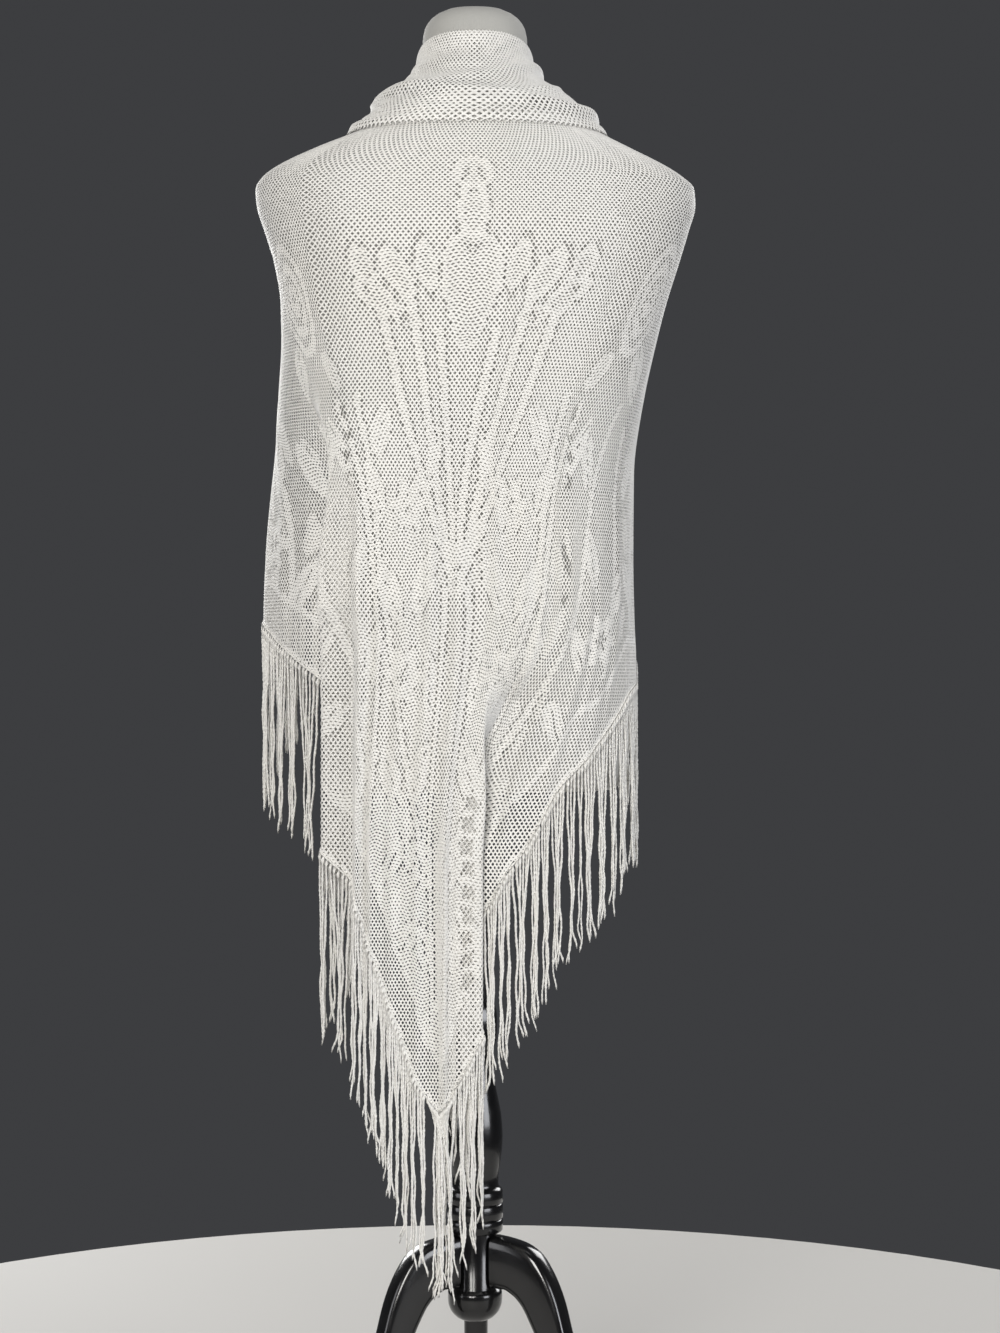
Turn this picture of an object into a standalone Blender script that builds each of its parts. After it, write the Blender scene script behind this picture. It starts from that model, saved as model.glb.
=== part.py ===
"""Lace shawl worn on a limbless dress form on a turned tripod stand.

Metres, +Z up. The wearer's back faces -Y. The cloth is one knitted triangle: it lies over the
shoulders, hangs in a point behind, crosses on the chest and winds round the neck.
"""

import math

import bmesh
import bpy
import numpy as np

# Driving sizes
WHOLE_SHIFT_Y = -0.0414  # puts the middle of the whole part's box over the origin
CLOTH_WALL = 0.0012
SEAM_GAP = 0.0003
RING_POWER = 0.86  # 1 is an ellipse, less is squarer

# Cloth width coordinates: 0 at the tail's middle, negative on the left, counted along the knitting
CHEST_HALF_WIDTH = 0.47  # cloth from the back's middle to the chest's middle
LEFT_END = -0.60
RIGHT_END = 0.58
LEFT_SIDE = -0.30  # where the left front stretch begins
RIGHT_SIDE = 0.27
LEFT_PLEAT = (0.15, 0.24)
RIGHT_PLEAT = (0.03, 0.12)

# Heights
BODY_TOP = 1.218
SHOULDER_FREE = 1.12  # above this the cloth lies evenly on the shoulders
HANGING = 0.86  # below this it hangs straight down
FOLD_TOP = 0.80  # here the right-hand cloth starts to draw into its pleat
FOLD_FULL = 0.56

# Pleats
LEFT_PLEAT_CLOTH = 0.100
RIGHT_PLEAT_CLOTH = 0.090
HAIRPIN = 0.052  # share of a pleat's cloth in half of one of its turns
PLEAT_DEPTH_MOST = 0.018
FRONT_LIFT = 0.004  # each of the two crossed fronts stands this far from the middle layer

# Fringe
STRAND_PITCH = 0.0078
STRAND_WIDTH = 0.0024
STRAND_LENGTH = 0.158
BACKING_GAP = 0.0009
BACKING_HEIGHT = 0.004
BACKING_WALL = 0.0018

# Stand
POLE_RADIUS = 0.012
TORSO_BOTTOM = 0.620
POLE_FOOT = 0.431
LEG_COUNT = 3
ROUND_SIDES = 24

# Each row: height, left, right, back, front
CLOTH_RINGS = (
    (0.340, 0.186, 0.144, 0.121, 0.130),
    (0.600, 0.186, 0.144, 0.121, 0.130),
    (0.717, 0.1863, 0.144, 0.120, 0.130),
    (0.770, 0.1863, 0.1415, 0.118, 0.130),
    (0.825, 0.1845, 0.1404, 0.116, 0.130),
    (0.900, 0.180, 0.1415, 0.114, 0.130),
    (0.970, 0.1764, 0.152, 0.112, 0.130),
    (1.020, 0.1737, 0.163, 0.111, 0.130),
    (1.055, 0.1745, 0.172, 0.110, 0.127),
    (1.090, 0.180, 0.183, 0.108, 0.117),
    (1.120, 0.189, 0.192, 0.104, 0.106),
    (1.143, 0.196, 0.198, 0.099, 0.097),
    (1.157, 0.197, 0.197, 0.095, 0.092),
    (1.166, 0.192, 0.188, 0.092, 0.088),
    (1.175, 0.180, 0.174, 0.089, 0.085),
    (1.190, 0.148, 0.144, 0.084, 0.081),
    (1.203, 0.1140, 0.1180, 0.079, 0.077),
    (1.212, 0.096, 0.103, 0.073, 0.072),
    (1.225, 0.080, 0.087, 0.065, 0.065),
)

# Each row: height, half width, back, front
FORM_RINGS = (
    (0.620, 0.124, 0.086, 0.090),
    (0.624, 0.130, 0.092, 0.096),
    (0.634, 0.1335, 0.095, 0.100),
    (0.660, 0.1355, 0.096, 0.102),
    (0.700, 0.136, 0.096, 0.102),
    (0.760, 0.133, 0.092, 0.099),
    (0.820, 0.126, 0.084, 0.093),
    (0.870, 0.123, 0.079, 0.090),
    (0.930, 0.131, 0.084, 0.098),
    (0.980, 0.146, 0.092, 0.111),
    (1.020, 0.157, 0.097, 0.119),
    (1.055, 0.165, 0.099, 0.116),
    (1.090, 0.173, 0.098, 0.105),
    (1.120, 0.182, 0.095, 0.094),
    (1.143, 0.189, 0.091, 0.086),
    (1.157, 0.189, 0.087, 0.081),
    (1.166, 0.183, 0.083, 0.077),
    (1.175, 0.171, 0.080, 0.074),
    (1.190, 0.138, 0.074, 0.069),
    (1.203, 0.106, 0.069, 0.065),
    (1.215, 0.080, 0.062, 0.059),
    (1.232, 0.056, 0.053, 0.051),
    (1.250, 0.0465, 0.047, 0.047),
    (1.272, 0.0460, 0.0455, 0.0455),
    (1.290, 0.0470, 0.0465, 0.0465),
    (1.300, 0.0455, 0.0450, 0.0450),
    (1.307, 0.0418, 0.0414, 0.0414),
    (1.313, 0.0350, 0.0346, 0.0346),
    (1.317, 0.0265, 0.0262, 0.0262),
    (1.3193, 0.0160, 0.0158, 0.0158),
    (1.320, 0.0060, 0.0060, 0.0060),
)

# Each row: height behind, left, right, back, front, how much lower the front lies
COLLAR_RINGS = (
    (1.288, 0.0505, 0.0505, 0.0505, 0.0505, 0.000),
    (1.274, 0.0525, 0.0520, 0.0530, 0.0540, 0.004),
    (1.260, 0.0590, 0.0575, 0.0600, 0.0620, 0.009),
    (1.251, 0.0650, 0.0655, 0.0660, 0.0700, 0.015),
    (1.243, 0.0745, 0.0770, 0.0730, 0.0790, 0.020),
    (1.236, 0.0845, 0.0875, 0.0790, 0.0880, 0.026),
    (1.228, 0.0900, 0.0965, 0.0840, 0.0960, 0.031),
    (1.221, 0.0960, 0.1040, 0.0835, 0.1030, 0.035),
    (1.214, 0.1020, 0.1120, 0.0742, 0.1070, 0.038),
)

# Each row: cloth width, way round the body at FOLD_TOP, the same at FOLD_FULL, the hem's height
LEFT_HEM = (
    (0.000, 0.0150, 0.0286, 0.352),
    (0.030, 0.0340, 0.0450, 0.374),
    (0.055, 0.0490, 0.0600, 0.414),
    (0.085, 0.0670, 0.0770, 0.464),
    (0.110, 0.0810, 0.0890, 0.500),
    (0.150, 0.1025, 0.1025, 0.548),
    (0.1725, 0.1080, 0.1080, 0.573),
    (0.2175, 0.1120, 0.1120, 0.640),
    (0.240, 0.1150, 0.1150, 0.690),
    (0.250, 0.1264, 0.1264, 0.710),
    (0.270, 0.1470, 0.1470, 0.726),
    (0.300, 0.1820, 0.1820, 0.746),
    (0.330, 0.2160, 0.2160, 0.763),
    (0.360, 0.2460, 0.2460, 0.774),
    (0.420, 0.3050, 0.3050, 0.815),
    (0.480, 0.3650, 0.3650, 0.870),
    (0.540, 0.4300, 0.4300, 0.935),
    (0.600, 0.5000, 0.5000, 1.000),
)
RIGHT_HEM = (
    (0.000, -0.0150, -0.0286, 0.352),
    (0.015, -0.0030, -0.0215, 0.360),
    (0.030, 0.0100, -0.0150, 0.374),
    (0.0525, 0.0240, -0.0130, 0.418),
    (0.0975, 0.0530, -0.0100, 0.482),
    (0.120, 0.0680, -0.0080, 0.508),
    (0.135, 0.0760, 0.0123, 0.525),
    (0.155, 0.0880, 0.0276, 0.554),
    (0.170, 0.0970, 0.0429, 0.573),
    (0.200, 0.1140, 0.0642, 0.624),
    (0.215, 0.1240, 0.0787, 0.642),
    (0.240, 0.1400, 0.0957, 0.664),
    (0.265, 0.1580, 0.1210, 0.690),
    (0.285, 0.1750, 0.1450, 0.708),
    (0.320, 0.2050, 0.1900, 0.718),
    (0.360, 0.2400, 0.2350, 0.738),
    (0.420, 0.2900, 0.2900, 0.788),
    (0.480, 0.3500, 0.3500, 0.852),
    (0.530, 0.4050, 0.4050, 0.920),
    (0.580, 0.4700, 0.4700, 1.000),
)

# Soft upright folds. Each row: cloth width, half width, height, top, bottom
SOFT_FOLDS = (
    (-0.112, 0.012, 0.0030, 0.92, 0.40),
    (-0.068, 0.011, 0.0034, 0.86, 0.34),
    (-0.032, 0.010, 0.0040, 0.94, 0.34),
    (0.002, 0.010, 0.0034, 0.90, 0.34),
    (0.046, 0.010, 0.0030, 0.97, 0.74),
    (0.082, 0.011, 0.0028, 0.95, 0.72),
    (0.150, 0.012, 0.0038, 0.93, 0.50),
    (0.184, 0.011, 0.0030, 0.88, 0.55),
    (0.224, 0.013, 0.0026, 0.84, 0.60),
    (-0.272, 0.014, 0.0030, 0.95, 0.70),
    (-0.345, 0.018, 0.0034, 0.98, 0.72),
    (-0.430, 0.020, 0.0030, 1.02, 0.80),
    (0.352, 0.018, 0.0030, 0.98, 0.70),
    (0.440, 0.020, 0.0028, 1.04, 0.78),
)

# Turned stand. Each row: height, radius
STAND_TOP = (
    (0.3863, 0.0160),
    (0.390, 0.0185),
    (0.400, 0.0198),
    (0.415, 0.0200),
    (0.425, 0.0180),
    (0.4307, 0.0135),
)
COLUMN = (
    (0.142, 0.0080),
    (0.145, 0.0165),
    (0.151, 0.0220),
    (0.158, 0.0243),
    (0.162, 0.0245),
    (0.1665, 0.0245),
    (0.170, 0.0230),
    (0.172, 0.0205),
    (0.221, 0.0205),
    (0.2225, 0.0245),
    (0.232, 0.0252),
    (0.2335, 0.0240),
    (0.235, 0.0252),
    (0.246, 0.0252),
    (0.2475, 0.0240),
    (0.249, 0.0252),
    (0.259, 0.0248),
    (0.262, 0.0215),
    (0.272, 0.0212),
    (0.288, 0.0235),
    (0.308, 0.0250),
    (0.328, 0.0235),
    (0.350, 0.0190),
    (0.368, 0.0155),
    (0.380, 0.0145),
    (0.386, 0.0155),
)

# Leg. Each row: outer reach, outer height, inner reach, inner height, half width
LEG = (
    (0.0210, 0.2200, 0.0210, 0.1735, 0.0115),
    (0.0330, 0.2190, 0.0330, 0.1740, 0.0120),
    (0.0500, 0.2160, 0.0430, 0.1700, 0.0120),
    (0.0640, 0.2090, 0.0520, 0.1620, 0.0120),
    (0.0770, 0.1930, 0.0610, 0.1470, 0.0118),
    (0.0885, 0.1690, 0.0700, 0.1280, 0.0115),
    (0.0970, 0.1400, 0.0780, 0.1060, 0.0112),
    (0.1060, 0.1100, 0.0870, 0.0830, 0.0110),
    (0.1180, 0.0830, 0.0990, 0.0600, 0.0108),
    (0.1350, 0.0600, 0.1180, 0.0370, 0.0106),
    (0.1580, 0.0440, 0.1450, 0.0160, 0.0106),
    (0.1800, 0.0360, 0.1720, 0.0000, 0.0110),
    (0.2050, 0.0320, 0.2050, 0.0000, 0.0115),
    (0.2170, 0.0200, 0.2170, 0.0000, 0.0100),
)


def clear_scene():
    """Removes what a new Blender file holds."""
    for old in list(bpy.data.objects):
        bpy.data.objects.remove(old)


def finish(name, colour, roughness, metallic=0.0):
    """A plain Principled finish."""
    material = bpy.data.materials.new(name)
    material.use_nodes = True
    shader = material.node_tree.nodes["Principled BSDF"]
    shader.inputs["Base Color"].default_value = (*colour, 1.0)
    shader.inputs["Roughness"].default_value = roughness
    shader.inputs["Metallic"].default_value = metallic
    return material


def add_node(name, points, faces, material):
    """One named object from points and faces, moved so that the whole part is centred."""
    mesh = bpy.data.meshes.new(name)
    moved = [(x, y + WHOLE_SHIFT_Y, z) for x, y, z in points]
    mesh.from_pydata(moved, [], faces)
    shape = bmesh.new()
    shape.from_mesh(mesh)
    bmesh.ops.recalc_face_normals(shape, faces=shape.faces)
    shape.to_mesh(mesh)
    shape.free()
    mesh.materials.append(material)
    mesh.shade_smooth()
    mesh.set_sharp_from_angle(angle=math.radians(45))
    node = bpy.data.objects.new(name, mesh)
    bpy.context.scene.collection.objects.link(node)
    return node


def ease(share):
    """Smooth step from 0 to 1."""
    held = np.clip(share, 0.0, 1.0)
    return held * held * (3.0 - 2.0 * held)


def read(table, column, where):
    """One column of a table at a value of its first column, on a smooth curve with no overshoot."""
    rows = np.array(table)
    if rows[0, 0] > rows[-1, 0]:
        rows = rows[::-1]
    place = rows[:, 0]
    value = rows[:, column]
    steps = np.diff(value) / np.diff(place)
    slope = np.zeros(len(place))
    slope[0] = steps[0]
    slope[-1] = steps[-1]
    product = steps[:-1] * steps[1:]
    total = np.where(product > 0, steps[:-1] + steps[1:], 1.0)
    slope[1:-1] = np.where(product > 0, 2.0 * product / total, 0.0)
    at = np.clip(where, place[0], place[-1])
    low = np.clip(np.searchsorted(place, at, side="right") - 1, 0, len(place) - 2)
    width = place[low + 1] - place[low]
    part = (at - place[low]) / width
    rise = ease(part)
    start = part * (1.0 - part) ** 2 * width * slope[low]
    end = -part * part * (1.0 - part) * width * slope[low + 1]
    return value[low] * (1.0 - rise) + value[low + 1] * rise + start + end


def rounded(angle, left, right, back, front):
    """A point of a closed ring round the body. Angle 0 is the back's middle, a half turn the front's."""
    across = np.sin(angle)
    behind = np.cos(angle)
    half = np.where(across >= 0, right, left)
    depth = np.where(behind >= 0, back, front)
    x = half * np.sign(across) * np.abs(across) ** RING_POWER
    y = -depth * np.sign(behind) * np.abs(behind) ** RING_POWER
    return x, y


def cloth_ring(height):
    """The ring that the cloth follows at one height: way round, x and y, past the front's middle both ways."""
    angle = np.linspace(-1.45 * math.pi, 1.45 * math.pi, 581)
    sizes = [float(read(CLOTH_RINGS, column, height)) for column in range(1, 5)]
    x, y = rounded(angle, *sizes)
    steps = np.hypot(np.diff(x), np.diff(y))
    way = np.concatenate([[0.0], np.cumsum(steps)])
    way -= way[len(way) // 2]
    half_turn = np.interp(math.pi, angle, way), -np.interp(-math.pi, angle, way)
    return way, x, y, half_turn


def pleat_profile(open_angle, share):
    """How far along and how deep a fold's cloth has gone, for shares of its length."""
    fine = np.linspace(0.0, 1.0, 201)
    first = ease((fine - 0.25 + HAIRPIN) / (2 * HAIRPIN))
    second = ease((fine - 0.75 + HAIRPIN) / (2 * HAIRPIN))
    turned = open_angle * (first - second)
    step = fine[1]
    along = np.concatenate([[0.0], np.cumsum(np.cos((turned[:-1] + turned[1:]) / 2) * step)])
    inward = np.concatenate([[0.0], np.cumsum(np.sin((turned[:-1] + turned[1:]) / 2) * step)])
    return np.interp(share, fine, along), along[-1], np.interp(share, fine, inward), inward[-1]


def pleat(width, ends, cloth, open_share):
    """For cloth widths in a pleat: the extra way along it, the share of its depth, and its depth."""
    share = np.clip((width - ends[0]) / (ends[1] - ends[0]), 0.0, 1.0)
    along, whole, inward, deep = pleat_profile(math.pi * open_share, share)
    extra = cloth * (along - share * whole)
    depth = min(cloth * deep, PLEAT_DEPTH_MOST)
    sunk = inward / deep if deep > 1e-6 else ease(share)
    return extra, sunk, depth


def cloth_section(height, width):
    """The middle of the cloth at one height, for an array of cloth widths: x and y."""
    way, ring_x, ring_y, half_turn = cloth_ring(height)
    hanging = ease((SHOULDER_FREE - height) / (SHOULDER_FREE - HANGING))
    drawn = ease((FOLD_TOP - height) / (FOLD_TOP - FOLD_FULL))
    left_open = float(ease((0.99 - height) / 0.25)) ** 0.8
    right_open = float(ease((0.74 - height) / 0.18))
    size = np.abs(width)
    left = width < 0
    spread = size / CHEST_HALF_WIDTH
    even = np.where(left, -spread * half_turn[1], spread * half_turn[0])
    left_way = read(LEFT_HEM, 1, size) * (1 - drawn) + read(LEFT_HEM, 2, size) * drawn
    right_way = read(RIGHT_HEM, 1, size) * (1 - drawn) + read(RIGHT_HEM, 2, size) * drawn
    hung = np.where(left, -left_way, right_way)
    place = even * (1 - hanging) + hung * hanging
    left_extra, left_sunk, left_depth = pleat(size, LEFT_PLEAT, LEFT_PLEAT_CLOTH, left_open)
    right_extra, right_sunk, right_depth = pleat(size, RIGHT_PLEAT, RIGHT_PLEAT_CLOTH, right_open)
    place = place + np.where(left, -left_extra, right_extra)
    kept = float(ease(right_open * 3.0))
    fading = ease((width + LEFT_PLEAT[0]) / (LEFT_PLEAT[0] + RIGHT_PLEAT[0]))
    panel = left_depth * (1.0 - (1.0 - kept) * fading)
    past_right = ease((size - RIGHT_PLEAT[1]) / 0.06)
    right_lift = (panel - right_depth * right_sunk) * (1.0 - np.where(left, 0.0, past_right))
    lift = np.where(left, panel * (1.0 - left_sunk), right_lift)
    lift = lift + np.where(left, -FRONT_LIFT, FRONT_LIFT) * ease((size - 0.34) / 0.07)
    for middle, half, rise, top, bottom in SOFT_FOLDS:
        strength = ease((top - height) / 0.16) * ease((height - bottom) / 0.05)
        lift = lift + rise * strength * np.exp(-(((width - middle) / half) ** 2))
    x = np.interp(place, way, ring_x)
    y = np.interp(place, way, ring_y)
    nudge = 0.0015
    across = np.interp(place + nudge, way, ring_x) - np.interp(place - nudge, way, ring_x)
    along = np.interp(place + nudge, way, ring_y) - np.interp(place - nudge, way, ring_y)
    length = np.hypot(across, along)
    return x + lift * along / length, y - lift * across / length


def hem_height(width):
    """The hem's height at a cloth width."""
    return float(read(LEFT_HEM if width < 0 else RIGHT_HEM, 3, abs(width)))


def cloth_point(width, height):
    """A point of the cloth and the outward direction in plan."""
    near = np.array([width - 4e-4, width, width + 4e-4])
    x, y = cloth_section(height, near)
    across = x[2] - x[0]
    along = y[2] - y[0]
    length = math.hypot(across, along)
    return np.array([x[1], y[1], height]), np.array([along / length, -across / length, 0.0])


def wall(middle, outward, thickness, name, material):
    """A closed wall from a grid of middle points and their outward directions."""
    rows, columns = middle.shape[:2]
    outer = middle + outward * thickness / 2
    inner = middle - outward * thickness / 2
    points = [tuple(point) for point in outer.reshape(-1, 3)]
    points += [tuple(point) for point in inner.reshape(-1, 3)]
    shift = rows * columns
    faces = []
    for row in range(rows - 1):
        for column in range(columns - 1):
            corner = row * columns + column
            below = corner + columns
            faces.append((corner, corner + 1, below + 1, below))
            faces.append((corner + shift, below + shift, below + 1 + shift, corner + 1 + shift))
    for column in range(columns - 1):
        for corner in (column, (rows - 1) * columns + column):
            faces.append((corner, corner + 1, corner + 1 + shift, corner + shift))
    for row in range(rows - 1):
        for corner in (row * columns, row * columns + columns - 1):
            faces.append((corner, corner + columns, corner + columns + shift, corner + shift))
    return add_node(name, points, faces, material)


def surface_directions(middle, flat):
    """Outward directions square to the cloth, from the grid's own slopes."""
    across = np.gradient(middle, axis=1)
    down = np.gradient(middle, axis=0)
    square = np.cross(down, across)
    square /= np.linalg.norm(square, axis=2, keepdims=True)
    facing = np.sum(square * flat, axis=2, keepdims=True)
    return square * np.where(facing < 0, -1.0, 1.0)


def cloth_columns():
    """Cloth widths of the grid, closer together in the pleats."""
    turns = np.array([0.12, 0.20, 0.225, 0.25, 0.275, 0.30, 0.50, 0.70, 0.725, 0.75, 0.775, 0.80, 0.88])
    left_pleat = -(LEFT_PLEAT[1] - turns * (LEFT_PLEAT[1] - LEFT_PLEAT[0]))
    right_pleat = RIGHT_PLEAT[0] + turns * (RIGHT_PLEAT[1] - RIGHT_PLEAT[0])
    back = [
        np.linspace(LEFT_SIDE, -LEFT_PLEAT[1], 5),
        left_pleat,
        np.linspace(-LEFT_PLEAT[0], RIGHT_PLEAT[0], 16),
        right_pleat,
        np.linspace(RIGHT_PLEAT[1], RIGHT_SIDE, 13),
    ]
    return np.concatenate(back)


def add_cloth(name, widths, material):
    """One stretch of the shawl's body, from under the neck roll to the hem."""
    upper = (1.205, 1.190, 1.177, 1.166, 1.153, 1.132, 1.100)
    turn_over = 1.060
    lower_rows = 10
    middle = []
    flat = []
    for width in widths:
        hem = hem_height(width)
        lower = [turn_over + (hem - turn_over) * row / lower_rows for row in range(lower_rows + 1)]
        column = [cloth_point(width, height) for height in (BODY_TOP, *upper, *lower)]
        middle.append([point for point, _ in column])
        flat.append([direction for _, direction in column])
    middle = np.array(middle).transpose(1, 0, 2)
    flat = np.array(flat).transpose(1, 0, 2)
    wall(middle, surface_directions(middle, flat), CLOTH_WALL, name, material)


def add_collar(material):
    """The ends wound round the neck: a soft roll that spreads over the shoulders, closed in a ring."""
    around = 28
    points = []
    for face in (0.5, -0.5):
        for height, left, right, back, front, drop in COLLAR_RINGS:
            grown = face * CLOTH_WALL
            for step in range(around):
                angle = 2 * math.pi * step / around
                x, y = rounded(angle, left + grown, right + grown, back + grown, front + grown)
                low = drop * max(0.0, -math.cos(angle)) ** 3
                points.append((float(x), float(y), height - low))
    rows = len(COLLAR_RINGS)
    shift = rows * around
    faces = []
    for row in range(rows - 1):
        for step in range(around):
            here = row * around + step
            beside = row * around + (step + 1) % around
            faces.append((here, beside, beside + around, here + around))
            faces.append((here + shift, here + around + shift, beside + around + shift, beside + shift))
    for row in (0, rows - 1):
        for step in range(around):
            here = row * around + step
            beside = row * around + (step + 1) % around
            faces.append((here, beside, beside + shift, here + shift))
    add_node("shawl_neck_roll", points, faces, material)


def hem_line(widths):
    """The hem's straight stretches between the cloth's columns: widths, points and outward directions."""
    pairs = [cloth_point(width, hem_height(width)) for width in widths]
    return widths, np.array([point for point, _ in pairs]), np.array([way for _, way in pairs])


def on_hem(line, width):
    """A point on those stretches and its outward direction in plan."""
    widths, places, outward = line
    point = np.array([np.interp(width, widths, places[:, axis]) for axis in range(3)])
    facing = np.array([np.interp(width, widths, outward[:, axis]) for axis in range(3)])
    return point, facing / np.linalg.norm(facing)


def hem_walk(line, start, end):
    """Cloth widths along the hem, a strand's pitch apart in plan, in pairs that bound each strand's root."""
    fine = np.linspace(start, end, 500)
    path = np.array([on_hem(line, width)[0] for width in fine])
    steps = np.linalg.norm(np.diff(path[:, :2], axis=0), axis=1)
    way = np.concatenate([[0.0], np.cumsum(steps)])
    count = max(2, int((way[-1] - STRAND_WIDTH) / STRAND_PITCH))
    pitch = (way[-1] - STRAND_WIDTH) / count
    edges = []
    for strand in range(count + 1):
        edges.append(np.interp(strand * pitch, way, fine))
        edges.append(np.interp(strand * pitch + STRAND_WIDTH, way, fine))
    return edges


def add_fringe(name, line, start, end, material, random):
    """A narrow backing just below the hem, with square strands hanging from it."""
    points = []
    faces = []
    edges = hem_walk(line, start, end)
    for width in edges:
        middle, outward = on_hem(line, width)
        run = on_hem(line, width + 0.002)[0] - on_hem(line, width - 0.002)[0]
        parting = BACKING_GAP * np.linalg.norm(run) / math.hypot(run[0], run[1])
        for side, down in ((0.5, 0.0), (-0.5, 0.0), (-0.5, BACKING_HEIGHT), (0.5, BACKING_HEIGHT)):
            place = middle + outward * side * BACKING_WALL
            points.append((place[0], place[1], middle[2] - parting - down))
    for cell in range(len(edges) - 1):
        here = cell * 4
        there = here + 4
        faces.append((here, there, there + 1, here + 1))
        faces.append((here + 1, there + 1, there + 2, here + 2))
        faces.append((here + 3, there + 3, there, here))
        if cell % 2 == 1:
            faces.append((here + 2, there + 2, there + 3, here + 3))
    faces.append((0, 1, 2, 3))
    last = (len(edges) - 1) * 4
    faces.append((last + 3, last + 2, last + 1, last))
    for cell in range(0, len(edges) - 1, 2):
        root = [cell * 4 + 3, cell * 4 + 2, cell * 4 + 6, cell * 4 + 7]
        corners = np.array([points[index] for index in root])
        centre = corners.mean(axis=0)
        arms = corners - centre
        arms[:, 2] = 0.0
        length = STRAND_LENGTH * random.uniform(0.93, 1.04)
        sway = random.uniform(-0.0009, 0.0009, (2, 2))
        above = root
        for share, size, bend in ((0.55, 0.85, sway[0]), (1.0, 0.62, sway[1])):
            ring = []
            for arm in arms:
                place = centre + arm * size
                ring.append(len(points))
                points.append((place[0] + bend[0], place[1] + bend[1], centre[2] - length * share))
            for side in range(4):
                after = (side + 1) % 4
                faces.append((above[side], above[after], ring[after], ring[side]))
            above = ring
        faces.append(tuple(above))
    add_node(name, points, faces, material)


def stack_rings(rings, around, name, material):
    """A closed body from rings given as functions of the angle, with flat ends."""
    points = []
    for ring in rings:
        for step in range(around):
            points.append(ring(2 * math.pi * step / around))
    faces = []
    for row in range(len(rings) - 1):
        for step in range(around):
            here = row * around + step
            beside = row * around + (step + 1) % around
            faces.append((here, beside, beside + around, here + around))
    faces.append(tuple(range(around)))
    faces.append(tuple(range((len(rings) - 1) * around, len(rings) * around)))
    return add_node(name, points, faces, material)


def form_ring(height, half, back, front):
    """One ring of the dress form."""

    def point(angle):
        x, y = rounded(angle, half, half, back, front)
        return float(x), float(y), height

    return point


def turned_ring(height, radius):
    """One ring of a turned piece."""

    def point(angle):
        return radius * math.sin(angle), radius * math.cos(angle), height

    return point


def add_leg(index, material):
    """One curved leg with rounded edges, from the column down to a flat foot."""
    turn = math.pi * (0.5 + 2 * index / LEG_COUNT)
    points = []
    for outer, outer_height, inner, inner_height, half in LEG:
        flat_foot = inner_height == 0.0
        edge = half * 0.35
        corners = (
            (1.0, -half + edge),
            (1.0, half - edge),
            (0.82, half),
            (0.0 if flat_foot else 0.18, half),
            (0.0, half - edge),
            (0.0, -half + edge),
            (0.0 if flat_foot else 0.18, -half),
            (0.82, -half),
        )
        for share, across in corners:
            reach = inner + (outer - inner) * share
            height = inner_height + (outer_height - inner_height) * share
            x = reach * math.cos(turn) - across * math.sin(turn)
            y = reach * math.sin(turn) + across * math.cos(turn)
            points.append((x, y, height))
    corners = 8
    faces = []
    for row in range(len(LEG) - 1):
        for corner in range(corners):
            here = row * corners + corner
            beside = row * corners + (corner + 1) % corners
            faces.append((here, beside, beside + corners, here + corners))
    faces.append(tuple(range(corners)))
    faces.append(tuple(range((len(LEG) - 1) * corners, len(LEG) * corners)))
    add_node(f"leg_{index + 1}", points, faces, material)


def build():
    """All the pieces, from the form outwards."""
    clear_scene()
    jersey = finish("form_jersey", (0.62, 0.61, 0.58), 0.85)
    lace = finish("lace_knit", (0.76, 0.74, 0.69), 0.8)
    yarn = finish("fringe_yarn", (0.74, 0.71, 0.66), 0.75)
    lacquer = finish("black_lacquer", (0.012, 0.012, 0.013), 0.18)
    steel = finish("black_steel", (0.03, 0.03, 0.03), 0.35, 1.0)

    stack_rings([form_ring(*row) for row in FORM_RINGS], 28, "dress_form", jersey)
    pole = ((POLE_FOOT + SEAM_GAP, POLE_RADIUS), (TORSO_BOTTOM - SEAM_GAP, POLE_RADIUS))
    stack_rings([turned_ring(*row) for row in pole], ROUND_SIDES, "stand_pole", steel)
    stack_rings([turned_ring(*row) for row in STAND_TOP], ROUND_SIDES, "stand_top", lacquer)
    stack_rings([turned_ring(*row) for row in COLUMN], ROUND_SIDES, "stand_column", lacquer)
    for index in range(LEG_COUNT):
        add_leg(index, lacquer)

    add_collar(lace)
    half_gap = SEAM_GAP / 2
    left_front = np.linspace(LEFT_END, LEFT_SIDE - half_gap, 13)
    right_front = np.linspace(RIGHT_SIDE + half_gap, RIGHT_END, 13)
    back = cloth_columns()
    back[0] += half_gap
    back[-1] -= half_gap
    add_cloth("shawl_back", back, lace)
    add_cloth("shawl_front_left", left_front, lace)
    add_cloth("shawl_front_right", right_front, lace)

    line = hem_line(np.concatenate([left_front, back, right_front]))
    random = np.random.default_rng(7)
    stretches = (
        ("fringe_front_left", LEFT_END, -0.362),
        ("fringe_side_left", -0.358, -0.242),
        ("fringe_tail_left", -0.238, -0.001),
        ("fringe_tail_right", 0.001, 0.120),
        ("fringe_back_right", 0.123, 0.318),
        ("fringe_front_right", 0.322, RIGHT_END),
    )
    for name, start, end in stretches:
        add_fringe(name, line, start, end, yarn, random)


build()
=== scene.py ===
"""Looks of the lace shawl on its dress form: net, fringe, jersey, lacquered stand and studio."""

import math

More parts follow.
